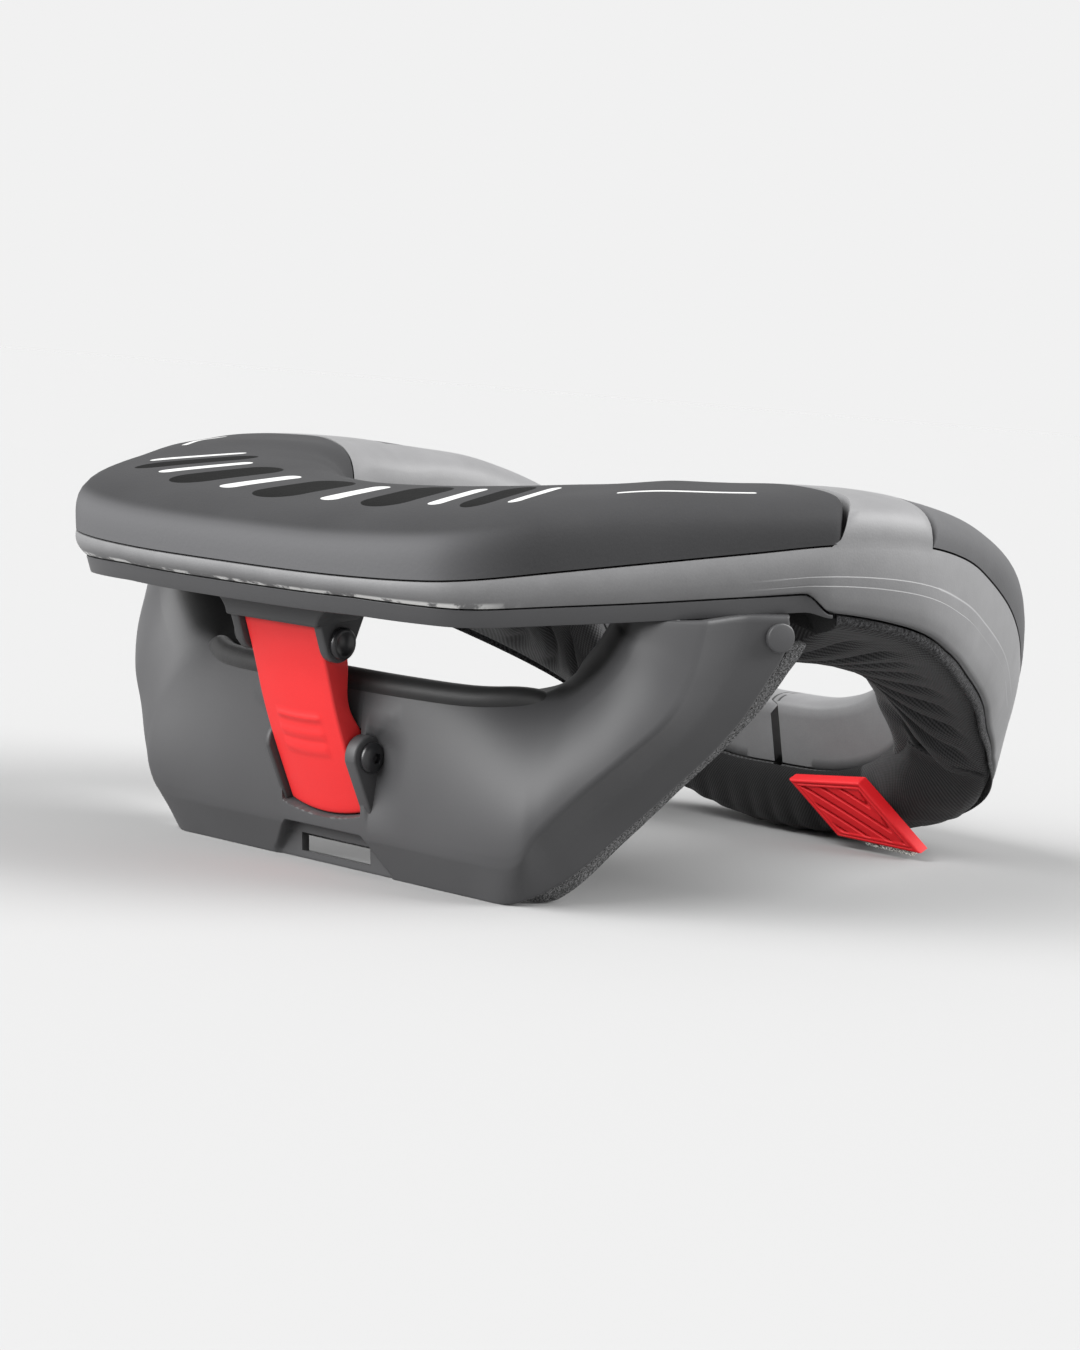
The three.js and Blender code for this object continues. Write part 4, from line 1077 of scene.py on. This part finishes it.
def hem_shift(r):
    """How far the hem is drawn in along a wing; at the wing's top it is let out instead."""
    inwards = smooth(r, HEM_IN["start"], HEM_IN["full"]) * (1 - smooth(r, HEM_IN["fade"], HEM_IN["end"]))
    fade = 1 - HEM_TOP["share"] * smooth(r, HEM_TOP["fade"], len(PLATE) - 1)
    return HEM_IN["size"] * inwards - HEM_TOP["size"] * smooth(r, HEM_TOP["start"], HEM_TOP["full"]) * fade


def plate_curve(r, w):
    """Front of the plate: -1 is the back of the lip, 0 the window, 1 the crease and 2 the hem."""
    row = along(PLATE, r, mirror=(0, 3, 6, 9), straight=(False, True))
    window, face, crease, hem = (row[..., k:k + 3] for k in (0, 3, 6, 9))
    knot = 2 * face - window / 2 - crease / 2
    w = w[..., None]
    main = (1 - w)**2 * window + 2 * w * (1 - w) * knot + w**2 * crease
    hem = hem - unit(hem - crease) * hem_shift(r)[..., None]
    lower = crease + (hem - crease) * (w - 1)
    deep = LIP["depth"] + LIP["wing"] * smooth(r, 2, 4)
    back = lip_back(r) * deep[..., None] + np.array((0, 0, LIP["rise"]))
    return np.where(w > 1, lower, np.where(w < 0, window - back * w, main))


def plate_base(r, w):
    """The plate's curve with its two folds rounded and the tops of its wings drawn up to the carrier."""
    points = plate_curve(r, w)
    wing = smooth(r, 3, 5)
    for fold, before, after, grown in PLATE_FOLDS:
        low, high = fold - before - grown * wing, fold + after + grown * wing / 4
        t = np.clip((w - low) / (high - low), 0, 1)[..., None]
        ends = [plate_curve(r, 0 * w + place) for place in (low, fold, high)]
        soft = (1 - t)**2 * ends[0] + 2 * t * (1 - t) * ends[1] + t**2 * ends[2]
        points = np.where(((w > low) & (w < high))[..., None], soft, points)
    drawn_up = WING_TOP["rise"] * smooth(r, WING_TOP["start"], len(PLATE) - 1)
    points[..., 2] += drawn_up * (1 - WING_TOP["hem"] * smooth(w, 1.2, 2))
    return points


def plate_point(r, w):
    """Front of the plate, with a shallow channel between the crease and the hem of each wing."""
    bend = np.sqrt((w - CHANNEL["place"])**2 + 0.003)
    depth = CHANNEL["depth"] * np.clip(1 - bend / CHANNEL["half"], 0, 1)
    depth = depth * smooth(r, CHANNEL["start"], CHANNEL["end"])
    return plate_base(r, w) - plate_normal(r, w) * depth[..., None]


def plate_normal(r, w):
    """Outward normal of the plate's front, without its channel."""
    ahead = np.minimum(r + 0.05, len(PLATE) - 1)
    run = plate_base(ahead, w) - plate_base(np.abs(r - 0.05), w) * np.where(r < 0.05, -1, 1)[..., None]
    run = np.where((r < 0.05)[..., None], np.array((1.0, 0, 0)), run)
    down = plate_base(r, np.minimum(w + 0.05, 2.4)) - plate_base(r, np.maximum(w - 0.05, -1))
    return unit(np.cross(down, run))


def rivet_frame():
    """Centre of the left rivet on the wing, its outward normal and the direction along the wing."""
    r, w = np.array(RIVET["row"]), np.array(RIVET["across"])
    normal = unit(plate_normal(r, w) * (1, 1, 0))
    return plate_point(r, w), normal, np.array((-normal[1], normal[0], 0))


def plate_relief(points):
    """Moves the plate's front back into the pocket, the scoop and the step, and out at the gussets."""
    side, y, z = np.moveaxis(points, -1, 0)
    x = np.abs(side)
    arc = STRUT[-1, 1] + STRUT_SAG * (x / STRUT_HALF)**2 - 0.3
    pocket = smooth(STRUT_HALF + 1.3 - x, 0, 0.8) * smooth(z - arc, -0.6, 0.6)
    y = y + pocket * np.maximum(strut_back(np.clip(z, STRUT[-1, 1], STRUT[0, 1])) + 0.8 - y, 0)
    scoop = smooth(side, BOSS_HALF - 2, BOSS_HALF - 1) * smooth(SCOOP["reach"] - x, 0, SCOOP["fade"])
    scoop = scoop * smooth(z, SCOOP["low"], SCOOP["full"]) * smooth(SCOOP["top"] - z, 0, SCOOP["end"])
    y = y + SCOOP["depth"] * scoop
    higher = np.clip((z - 1) / (RECESS["top"] - 1), 0, 1)
    lean = RECESS["wide"] + (RECESS["narrow"] - RECESS["wide"]) * higher
    step = smooth(lean - x, -0.7, 0.7) * smooth(RECESS["top"] - z, -0.5, 0.9)
    y = y + step * np.maximum(RECESS["back"] - y, 0)
    gusset = smooth(x - GUSSET["inside"], 0, 0.5) * smooth(GUSSET["outside"] - x, 0, 0.6)
    above = (z - GUSSET["foot"]) - (x - GUSSET["root"]) * GUSSET["slope"]
    gusset = gusset * smooth(GUSSET["top"] - z, 0, 0.6) * smooth(above, 0, 0.8)
    y = y - GUSSET["height"] * gusset
    return np.stack([side, y, z], -1)


def row_at(x):
    """Station of the plate's crease at a distance from the middle."""
    r = np.linspace(0, 3, 400)
    return np.interp(x, plate_curve(r, 0 * r + 1)[:, 0], r)


class COLLAR_OT_plate(bpy.types.Operator):
    """Models the chest plate: two wings, the strut's pocket with its ears, the step and the strap slot."""

    bl_idname = "collar.plate"
    bl_label = "Chest plate"

    def execute(self, context):
        finish = moulded_plastic("plate_plastic", colours().plastic, 0.44)
        pieces = [self.sheet()]
        inside = EAR["inside"]
        for x0, x1 in ((inside, BOSS_HALF), (-inside - PLATE_EAR["thin"], -inside)):
            pieces.append(prism("plate_ear", self.ear_outline(), x0, x1, 0.9))
        done(join(pieces, "chest_plate"), "plastic", finish, "chest_plate")
        return {"FINISHED"}

    def lines(self):
        """Grid lines: dense about the pocket, the step and the hem; the slot lies on lines of its own."""
        x = np.concatenate([np.linspace(0, SLOT["half"], 18), (15.4, 15.8, 16.2), np.arange(16.4, 17.8, 0.2),
                            np.arange(18, 24, 0.5), np.arange(24, 40)])
        rows = np.concatenate([row_at(x), np.linspace(row_at(40), 8.9, 76), (8.94, 8.97, 8.985, 8.995, 9)])
        depth = RECESS["top"] + 1
        low, high = (1 + (RECESS["top"] - SLOT[k]) / depth for k in ("top", "bottom"))
        hem = 2 - np.array((0.07, 0.045, 0.025, 0.012, 0.005, 0.0015, 0))
        across = np.concatenate([(-1, -0.85), np.linspace(-0.7, 0.24, 20), np.linspace(0.26, 0.72, 28),
                                 np.linspace(0.73, 1.13, 50), np.linspace(1.15, low, 6),
                                 np.linspace(low, high, 12)[1:], np.linspace(high, 1.9, 5)[1:], hem])
        return both_sides(rows), across, (low, high)

    def edge_fall(self, r, w):
        """How far the plate's faces round off towards the hem and the top of a wing."""
        length = np.linalg.norm(plate_curve(r, 0 * w + 2) - plate_curve(r, 0 * w + 1), axis=-1)
        near = np.minimum((2 - w) * length, (len(PLATE) - 1 - r) * 18)
        return PLATE_ROUND - np.sqrt(PLATE_ROUND**2 - np.clip(PLATE_ROUND - near, 0, PLATE_ROUND)**2)

    def sheet(self):
        rows, across, edges = self.lines()
        r, w = grid(rows, across)
        normal = signed(plate_normal, r, w)
        fall = normal * self.edge_fall(np.abs(r), w)[..., None]
        plain = signed(plate_point, r, w)
        front = plate_relief(plain) - fall
        back = plain - normal * PLATE_THICK + fall
        deeper = front[..., 1] + PLATE_THICK * 0.75
        middle = smooth(44 - np.abs(front[..., 0]), 0, 6) * (w > 0)
        back[..., 1] += middle * np.maximum(deeper - back[..., 1], 0)
        wanted = set(range(0, len(across), 3)) | {len(across) - 1}
        wanted |= {int(np.argmin(np.abs(across - edge))) for edge in edges}
        points = np.concatenate([front, back[:, sorted(wanted, reverse=True)]], axis=1)
        points[..., 2] = np.maximum(points[..., 2], ground(points[..., 1]))
        # Painted shade: the lip behind the window and the whole back are marked as the inside, which the
        # plastic paints dark.
        inside = np.concatenate([np.clip(-w * 6, 0, 1), np.ones((len(rows), len(wanted)))], axis=1)
        obj = closed_body("plate_sheet", points, {"inside": inside})
        self.cut_slot(obj, edges)
        return obj

    def cut_slot(self, obj, edges):
        """Opens the slot by deleting its faces in front and back and bridging the two holes."""
        top, bottom = (self.drawn(edge) for edge in edges)
        half = SLOT["half"] - 0.2
        choose(obj)
        bpy.ops.object.mode_set(mode="EDIT")
        bpy.ops.mesh.select_all(action="DESELECT")
        bpy.ops.object.mode_set(mode="OBJECT")
        for face in obj.data.polygons:
            p = undone(face.center)
            within = abs(p[0]) < half and bottom < p[2] < top and p[1] > SLOT["front"]
            face.select = bool(within) and len(face.vertices) == 4
        bpy.ops.object.mode_set(mode="EDIT")
        bpy.ops.mesh.select_mode(type="FACE")
        bpy.ops.mesh.delete(type="FACE")
        bpy.ops.mesh.select_mode(type="EDGE")
        bpy.ops.mesh.select_all(action="DESELECT")
        bpy.ops.mesh.select_non_manifold(extend=False, use_wire=False, use_boundary=True,
                                         use_multi_face=False, use_non_contiguous=False, use_verts=False)
        bpy.ops.mesh.bridge_edge_loops()
        bpy.ops.mesh.select_mode(type="VERT")
        bpy.ops.mesh.select_all(action="SELECT")
        bpy.ops.mesh.normals_make_consistent(inside=False)
        bpy.ops.object.mode_set(mode="OBJECT")

    def drawn(self, across):
        """Height of the lower border at a place across it, in the middle of the plate."""
        return RECESS["top"] - (across - 1) * (RECESS["top"] + 1)

    def ear_outline(self):
        """Round ear about the bolt, broad where it leaves the plate."""
        reach, front, back, low, high = (PLATE_EAR[k] for k in ("round", "front", "back", "low", "high"))
        angle = np.linspace(math.pi * 1.05, math.pi * 0.3, 22)
        arc = np.column_stack([BOLT["y"] + reach * np.cos(angle), BOLT["z"] + reach * np.sin(angle)])
        return np.vstack([(back, low), (front, low), arc, (back, high)])


# Padding

CHEST_PAD = np.array([
    # across, depth in the middle, depth at the wings, lift; down the front and up the back
    (0.02, 13.4, 5, 5), (0.16, 13.4, 5, 0), (0.3, 5, 5, 0), (0.65, 5, 5, 0), (1, 5, 5, 0), (1.5, 5, 5, 0),
    (1.96, 5, 4.8, 1.5), (1.96, 9.5, 9, 1.8), (1.5, 10, 10, 0), (1, 10.5, 10.5, 0), (0.3, 12, 10.5, 0),
    (0.14, 18.5, 10, 0), (0.02, 18.5, 9, 4),
])
CHEST_EDGE = {"last": 8.3, "start": 3, "end": 5, "narrow": 0.46, "reach": 0.2}
CHEST_SLOT = {"start": 1.0, "end": 1.3, "above": 0.92, "share": 0.98}
CHEST_HOLLOW = {"depth": 1.2, "half": 46, "fade": 14}
ROLL = {"end": 4.6, "taper": 2.4, "radius": 3.8, "back": 3.6, "rise": 1.4, "sink": 6, "deep": 1.1}
FELT = {"end": 8.6, "reach": 9.4, "start": 2.9, "full": 3.8, "front": 4.3, "back": 7.3, "slot": 5,
        "slot_start": 1.15, "slot_end": 1.7, "lift": 0.25, "under": 0.3}


class COLLAR_OT_chest_pad(bpy.types.Operator):
    """Models the padded backing of the chest plate, its rolled edge and the felt strip along its hem."""

    bl_idname = "collar.chest_pad"
    bl_label = "Chest pad"

    def execute(self, context):
        colour = colours()
        knit = ribbed_knit("chest_knit", colour.knit, 0.9)
        done(self.backing(), "fabric", knit, "chest_pad", fill=0.7, angle=80)
        done(self.roll(), "fabric", satin_binding(colour.knit), angle=80)
        done(self.felt(), "fabric", fuzzy_tape("felt", colour.felt, 0.6), angle=80)
        return {"FINISHED"}

    def backing(self):
        across, depth, wing, lift = CHEST_PAD.T
        r, across = grid(fine(-CHEST_EDGE["last"], CHEST_EDGE["last"], 121), across)
        share = smooth(np.abs(r), CHEST_EDGE["start"], CHEST_EDGE["end"])
        place = across + share * (CHEST_EDGE["narrow"] * (2 - across) + CHEST_EDGE["reach"] * across / 2)
        open_slot = CHEST_SLOT["share"] * (1 - smooth(np.abs(r), CHEST_SLOT["start"], CHEST_SLOT["end"]))
        place = np.where(across > 0.9, place - open_slot * (place - CHEST_SLOT["above"]), place)
        front = signed(plate_point, r, place)
        shift = plate_relief(front)[..., 1] - front[..., 1]
        points = front - signed(plate_normal, r, place) * (depth + (wing - depth) * share)[..., None]
        points[..., 2] += lift * (1 - share)
        near = smooth(CHEST_HOLLOW["half"] - np.abs(points[..., 0]), 0, CHEST_HOLLOW["fade"])
        points[..., 1] += np.maximum(shift, 0) + CHEST_HOLLOW["depth"] * near
        return subdivide(closed_body("chest_pad_body", points), 1)

    def roll(self):
        """Round edge of the pad over the lower lip of the window; its ends sink behind the lip."""
        turns = np.linspace(0, 2 * math.pi, 20, endpoint=False)
        r, angle = grid(np.linspace(-ROLL["end"], ROLL["end"], 141), turns)
        ending = smooth(np.abs(r), ROLL["taper"], ROLL["end"])
        radius = 0.15 + ROLL["radius"] * np.sqrt(1 - ending)
        reach = ROLL["back"] + radius * np.cos(angle) * ROLL["deep"]
        points = signed(plate_point, r, 0 * r) + signed(lip_back, r) * reach[..., None]
        points[..., 2] += ROLL["rise"] - ROLL["sink"] * ending + radius * np.sin(angle)
        return closed_body("chest_pad_roll", points)

    def felt(self):
        """Strip that stands out past the hem of the wings; behind the slot it runs higher."""
        rows = np.linspace(-FELT["end"], FELT["end"], 261)
        profile = np.array([(-6, 0), (-0.6, 0), (-0.1, 0.12), (0, 0.3),
                            (0, 0.7), (-0.1, 0.88), (-0.6, 1), (-6, 1)])
        r, edge = grid(rows, profile[:, 0])
        a = np.abs(r)
        over_slot = 1 - smooth(a, FELT["slot_start"], FELT["slot_end"])
        base = 2 - FELT["lift"] * over_slot
        reach = (FELT["reach"] + FELT["under"]) * smooth(a, FELT["start"], FELT["full"]) - FELT["under"]
        hem = signed(plate_point, r, base)
        out = unit(signed(plate_curve, r, 0 * r + 2) - signed(plate_curve, r, 0 * r + 1))
        depth = FELT["front"] + (FELT["back"] - FELT["front"]) * profile[:, 1]
        shift = np.maximum(plate_relief(hem)[..., 1] - hem[..., 1], 0)
        points = hem + out * (reach + edge)[..., None]
        points -= signed(plate_normal, r, base) * depth[:, None]
        points[..., 1] += shift + FELT["slot"] * over_slot
        points[..., 2] = np.maximum(points[..., 2], ground(points[..., 1]))
        return closed_body("chest_pad_felt", points)


def lining_start(t):
    return pad_end(t) + LINING["after_tray"]


def lining_station(share, t):
    """Station at a share of the way from the tray's end to the split, for a place t across."""
    return lining_start(t) + (REAR - lining_start(t)) * share


def lining_share(u, t):
    """Share of the way from the tray's end to the split."""
    return (u - lining_start(t)) / (REAR - lining_start(t))


def lining_depth(u, t, share):
    """Thickness of the padding: thin outside, deep at the neck, with sewn grooves across."""
    deep = LINING["edge"] + (ring_row(u)[..., DEPTH] - LINING["edge"]) * smooth(t, 0, 1)
    fade = np.clip(RIBS["flat"] - u, 0, 1) * smooth(t, RIBS["start"], RIBS["full"])
    fade = fade * (1 - RIBS["share"] * smooth(t, RIBS["neck"], 1))
    groove = np.abs(np.cos(math.pi * (share * RIBS["count"] + RIBS["slant"] * t)))**RIBS["sharp"]
    return deep + LINING["bulge"] * 4 * t * (1 - t) - RIBS["depth"] * fade * groove


class COLLAR_OT_linings(bpy.types.Operator):
    """Models the ribbed padding under the ring and the fuzzy tape along its edge."""

    bl_idname = "collar.linings"
    bl_label = "Ribbed padding and tape"

    def execute(self, context):
        knit = ribbed_knit("lining_knit", colours().knit, sizes().twill)
        fuzz = fuzzy_tape("loop_tape", colours().tape)
        for name, side in (("left", 1), ("right", -1)):
            lining = self.lining(f"lining_{name}", side)
            done(lining, "fabric", knit, f"lining_{name}", fill=0.7, angle=80)
            done(self.tape(f"edge_tape_{name}", side), "tape", fuzz, f"edge_tape_{name}", angle=80)
        return {"FINISHED"}

    def lining(self, name, side):
        t = np.concatenate([[LINING["start"]], np.linspace(LINING["start"] + 0.015, 0.985, 22), [1.0]])
        share, t = grid(np.linspace(0, 1, 321), t)
        station, full = lining_station(share, t), 0 * t + 1
        rim = np.sqrt(1 - (1 - np.clip((t - LINING["start"]) / LINING["rim"], 0, 1))**2)
        rim = LINING["rim_share"] + (1 - LINING["rim_share"]) * rim
        depth = LINING["least"] + (lining_depth(station, t, share) - LINING["least"]) * rim
        top = underside(station, t, LINING["gap"] * full, full)
        sole = underside(station, t, depth, full)
        neck = station[:, -1]
        out = section(neck)[1]
        more = smooth(neck, CHEEK["start"], CHEEK["full"]) * (1 - smooth(neck, CHEEK["fade"], CHEEK["end"]))
        swell = CHEEK["size"] + CHEEK["more"] * more
        cheeks = []
        for k in (0.08, 0.18, 0.32, 0.5, 0.68, 0.82, 0.92):
            bulge = (swell * 4 * k * (1 - k))[:, None]
            cheeks.append(top[:, -1] + (sole[:, -1] - top[:, -1]) * k - out * bulge)
        points = np.concatenate([sole, np.stack(cheeks[::-1], 1), top[:, ::-3]], axis=1)
        return self.on_side(name, points, station, side)

    def tape(self, name, side):
        share, place = grid(np.linspace(0, 1, 241), np.linspace(0, 1, 5))
        end = TAPE["end"] + (TAPE["rear"] - TAPE["end"]) * smooth(share, 0, 0.3)
        t = TAPE["start"] + (end - TAPE["start"]) * place
        station, full = lining_station(share, t), 0 * t + 1
        hump = np.sqrt(1 - ((2 * place - 1) * 0.94)**2)
        top = underside(station, t, TAPE["seat"] * full, full)
        sole = underside(station, t, TAPE["edge"] + (TAPE["thick"] - TAPE["edge"]) * hump, full)
        return self.on_side(name, np.concatenate([sole, top[:, ::-2]], axis=1), station, side)

    def on_side(self, name, points, station, side):
        """Body of the left side's points, kept off the split, or of their mirror image."""
        points = keep_split(points, station[:, :1])
        points[..., 0] *= side
        return closed_body(name, points)


class COLLAR_OT_strap(bpy.types.Operator):
    """Models the padded strap across the split and the ridged pull tab on it."""

    bl_idname = "collar.strap"
    bl_label = "Strap and pull tab"

    def execute(self, context):
        colour = colours()
        knit = ribbed_knit("strap_knit", tone(colour.knit, 0.25), 1.1, tone(colour.knit, 0.85))
        done(self.strap(), "fabric", knit, "closure_strap", fill=0.6, angle=80)
        tab = self.tab()
        done(tab, "red_rubber", moulded_plastic("red_rubber", colour.tab, 0.52, 0.5), "pull_tab")
        done(self.patch(), "patch", fuzzy_tape("hook_tape", colour.patch, 0.7), "hook_patch")
        return {"FINISHED"}

    def strap(self):
        station = both_sides(np.linspace(REAR, STRAP["end"], 66))
        points = self.strap_points(station)
        end = 1 - smooth(np.abs(station), STRAP["seam"], STRAP["seam"] + 0.05)
        marks = {"end": np.broadcast_to(end[:, None], points.shape[:2])}
        return subdivide(closed_body("closure_strap", points, marks), 1)

    def strap_points(self, station):
        """Rings of the strap: its seat on the padding, its lip, belly and flat sole; its ends run out."""
        places, t = grid(station, (0.12, 0.25, 0.5, 0.75, 1.0))
        depth = lining_depth(np.abs(places), t, lining_share(np.abs(places), t)) + STRAP["gap"]
        seat = signed(underside, places, t, depth, 0 * t + 1)
        neck, heel = seat[:, -1], seat[:, 0]
        u = np.abs(station)
        edge = signed(underside, station, 0 * u + 1, 0 * u + 0.9, 0 * u + 1)
        inward = -outward(station) * smooth(u, STRAP["end"] - 0.3, STRAP["end"] + 0.8)[:, None]
        share = (REAR - u) / (REAR - STRAP["end"])
        rib = STRAP["dip"] * np.abs(np.cos(math.pi * STRAP["ribs"] * share))**3
        arch = STRAP["arch"] * neck[:, 0]**2

        def point(x, y, z):
            return np.stack([x, y, z], -1)

        waist = neck[:, 2] - STRAP["waist"]
        toe_y, sole_y = neck[:, 1] + STRAP["slope"], heel[:, 1] - STRAP["heel"]
        lip = [
            neck + inward * STRAP["lip"],
            edge + inward * STRAP["lip"],
            edge + inward * (STRAP["lip"] + STRAP["thick"]) - np.array((0, 0, 0.8)),
            neck + inward * (STRAP["lip"] + STRAP["thick"]),
        ]
        body = np.stack([
            point(neck[:, 0], neck[:, 1] - STRAP["belly"] + rib, waist),
            point(neck[:, 0], toe_y, np.minimum(ground(toe_y) + arch + rib, waist - 3)),
            point(heel[:, 0], sole_y, np.minimum(ground(sole_y) + arch + rib, heel[:, 2] - 1.2)),
            heel + np.array((0, 1, -1)),
        ], 1)
        thin = seat[:, (4, 3, 1, 0)] - np.array((0, 0, 0.5))
        body = thin + (body - thin) * smooth(u, STRAP["end"], STRAP["full"])[:, None, None]
        return np.concatenate([seat, np.stack(lip, 1), body], axis=1)

    def tab_point(self, s, t, depth):
        """Place on the tab: shares of its width and length, and millimetres behind its front."""
        across, left, right = (np.array(TAB[k], float) for k in ("across", "left", "right"))
        back = unit(np.cross(across, left))
        s, t, depth = (np.asarray(v, float)[..., None] for v in (s, t, depth))
        return np.array(TAB["corner"]) + across * s + (left + (right - left) * s) * t + back * depth

    def tab(self):
        """Slab with a raised stitched border round slanted ridges that turn near its right edge."""
        t, s = grid(np.linspace(0, TAB_LENGTH, 111), np.linspace(0, 1, 111))
        wide, long = TAB_SIZE
        edge = np.minimum(np.minimum(s, 1 - s) * wide, np.minimum(t, TAB_LENGTH - t) * long)
        panel = smooth(edge - RIDGES["border"], 0, 0.8)
        turned = s - RIDGES["turn"]
        rise = np.where(turned < 0, -turned * RIDGES["slope"], turned * RIDGES["steep"]) * wide
        groove = smooth(np.abs(((rise + t * long) / RIDGES["pitch"]) % 1 - 0.5) * 2, 0.66, 0.86)
        stitch = smooth(0.45 - np.abs(edge - RIDGES["stitch"]), 0, 0.3) * 0.3
        size = RIDGES["round"]
        soft = size - np.sqrt(np.maximum(size**2 - np.clip(size - edge, 0, size)**2, 0))
        front = self.tab_point(s, t, panel * (RIDGES["sunk"] + RIDGES["depth"] * groove) + stitch + soft)
        back = self.tab_point(s, t, 0 * t + TAB_THICK)
        return closed_body("pull_tab_body", np.concatenate([front, back[:, ::-10]], axis=1))

    def patch(self):
        """Pale hook tape under the tab's end, in three blocks."""
        blocks = []
        near, far = TAB_LENGTH + HOOKS["near"], TAB_LENGTH + HOOKS["far"]
        for start, end in HOOKS["places"]:
            corners = ((start, near), (end, near), (end, far), (start, far))
            rows = [[self.tab_point(s, t, depth) for s, t in corners]
                    for depth in (HOOKS["front"], TAB_THICK + HOOKS["back"])]
            blocks.append(bevel(closed_body("block", np.array(rows)), 0.25, 2))
        return join(blocks, "hook_patch")


# Stage

SKY = 0.88
SUNS = (
    # name, azimuth from the front, elevation, share of the key's strength, spread
    ("key", -18, 33, 1.0, 60),
    ("rim", 135, 34, 0.8, 45),
)


class COLLAR_OT_stage(bpy.types.Operator):
    """Sets the pale floor, the soft lamps and the camera."""

    bl_idname = "collar.stage"
    bl_label = "Floor, lights and camera"

    def execute(self, context):
        power = sizes().key_power
        for name, azimuth, elevation, share, spread in SUNS:
            self.sun(name, azimuth, elevation, share * power, spread)
        falling = [share * math.sin(math.radians(elevation)) for _, _, elevation, share, _ in SUNS]
        self.floor(power * sum(falling))
        self.world(context)
        self.camera(context)
        context.scene.view_settings.view_transform = "Standard"
        return {"FINISHED"}

    def floor(self, light):
        """Wide floor, just dark enough that the lamps bring it to the brightness of the sky."""
        finish = Finish("pale_floor")
        cloud = finish.noise(400, 1)
        shade = SKY / (SKY + light / math.pi)
        colour = finish.blend(cloud, tone((shade,) * 3, 0.998), tone((shade,) * 3, 1.002))
        finish.surface(colour, 0.9, Specular_IOR_Level=0.0)
        deselect()
        bpy.ops.mesh.primitive_plane_add(size=400)
        floor = bpy.context.object
        floor.name = "floor"
        floor.data.materials.append(finish.material)

    def world(self, context):
        world = bpy.data.worlds.new("studio")
        world.use_nodes = True
        background = world.node_tree.nodes["Background"]
        background.inputs["Color"].default_value = (1, 1, 1, 1)
        background.inputs["Strength"].default_value = SKY
        context.scene.world = world

    def camera(self, context):
        azimuth, elevation = (math.radians(CAMERA[k]) for k in ("azimuth", "elevation"))
        right = np.array((math.cos(azimuth), math.sin(azimuth), 0))
        back = np.array((math.sin(azimuth) * math.cos(elevation), -math.cos(azimuth) * math.cos(elevation),
                         math.sin(elevation)))
        place = rest(np.array(CAMERA["target"]) + back * CAMERA["distance"])
        axes = [leaned(v) for v in (right, np.cross(back, right), back)]
        deselect()
        bpy.ops.object.camera_add()
        camera = bpy.context.object
        camera.matrix_world = Matrix.Translation(Vector(place)) @ Matrix(axes).transposed().to_4x4()
        camera.data.lens = CAMERA["lens"]
        camera.data.sensor_fit = "AUTO"
        camera.data.clip_start = 0.05
        context.scene.camera = camera

    def sun(self, name, azimuth, elevation, strength, spread):
        """Soft distant lamp that stands at an azimuth from the front, to the right, and a height."""
        across, up = math.radians(azimuth), math.radians(elevation)
        place = Vector((math.sin(across) * math.cos(up), -math.cos(across) * math.cos(up), math.sin(up)))
        deselect()
        bpy.ops.object.light_add(type="SUN", location=place * 2)
        light = bpy.context.object
        light.name = name
        light.data.energy = strength
        light.data.angle = math.radians(spread)
        light.rotation_euler = (-place).to_track_quat("-Z", "Y").to_euler()


class COLLAR_PT_panel(bpy.types.Panel):
    """Sidebar panel with the collar's values and steps."""

    bl_idname = "COLLAR_PT_panel"
    bl_label = "Neck collar"
    bl_space_type = "VIEW_3D"
    bl_region_type = "UI"
    bl_category = "Collar"

    def draw(self, context):
        for group in (context.scene.collar_sizes, context.scene.collar_colours):
            for key in group.__annotations__:
                self.layout.prop(group, key)
        for step in STEPS:
            self.layout.operator(step.bl_idname)


STEPS = (COLLAR_OT_shell, COLLAR_OT_pads, COLLAR_OT_carrier, COLLAR_OT_strut, COLLAR_OT_fasteners,
         COLLAR_OT_plate, COLLAR_OT_chest_pad, COLLAR_OT_linings, COLLAR_OT_strap, COLLAR_OT_stage)
CLASSES = (CollarSizes, CollarColours, *STEPS, COLLAR_PT_panel)


def register():
    for item in CLASSES:
        bpy.utils.register_class(item)
    bpy.types.Scene.collar_sizes = bpy.props.PointerProperty(type=CollarSizes)
    bpy.types.Scene.collar_colours = bpy.props.PointerProperty(type=CollarColours)


def unregister():
    del bpy.types.Scene.collar_sizes
    del bpy.types.Scene.collar_colours
    for item in reversed(CLASSES):
        bpy.utils.unregister_class(item)


def main():
    register()
    collar = bpy.ops.collar
    collar.shell()
    collar.pads()
    collar.carrier()
    collar.strut()
    collar.fasteners()
    collar.plate()
    collar.chest_pad()
    collar.linings()
    collar.strap()
    collar.stage()
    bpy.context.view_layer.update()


if __name__ == "__main__":
    main()
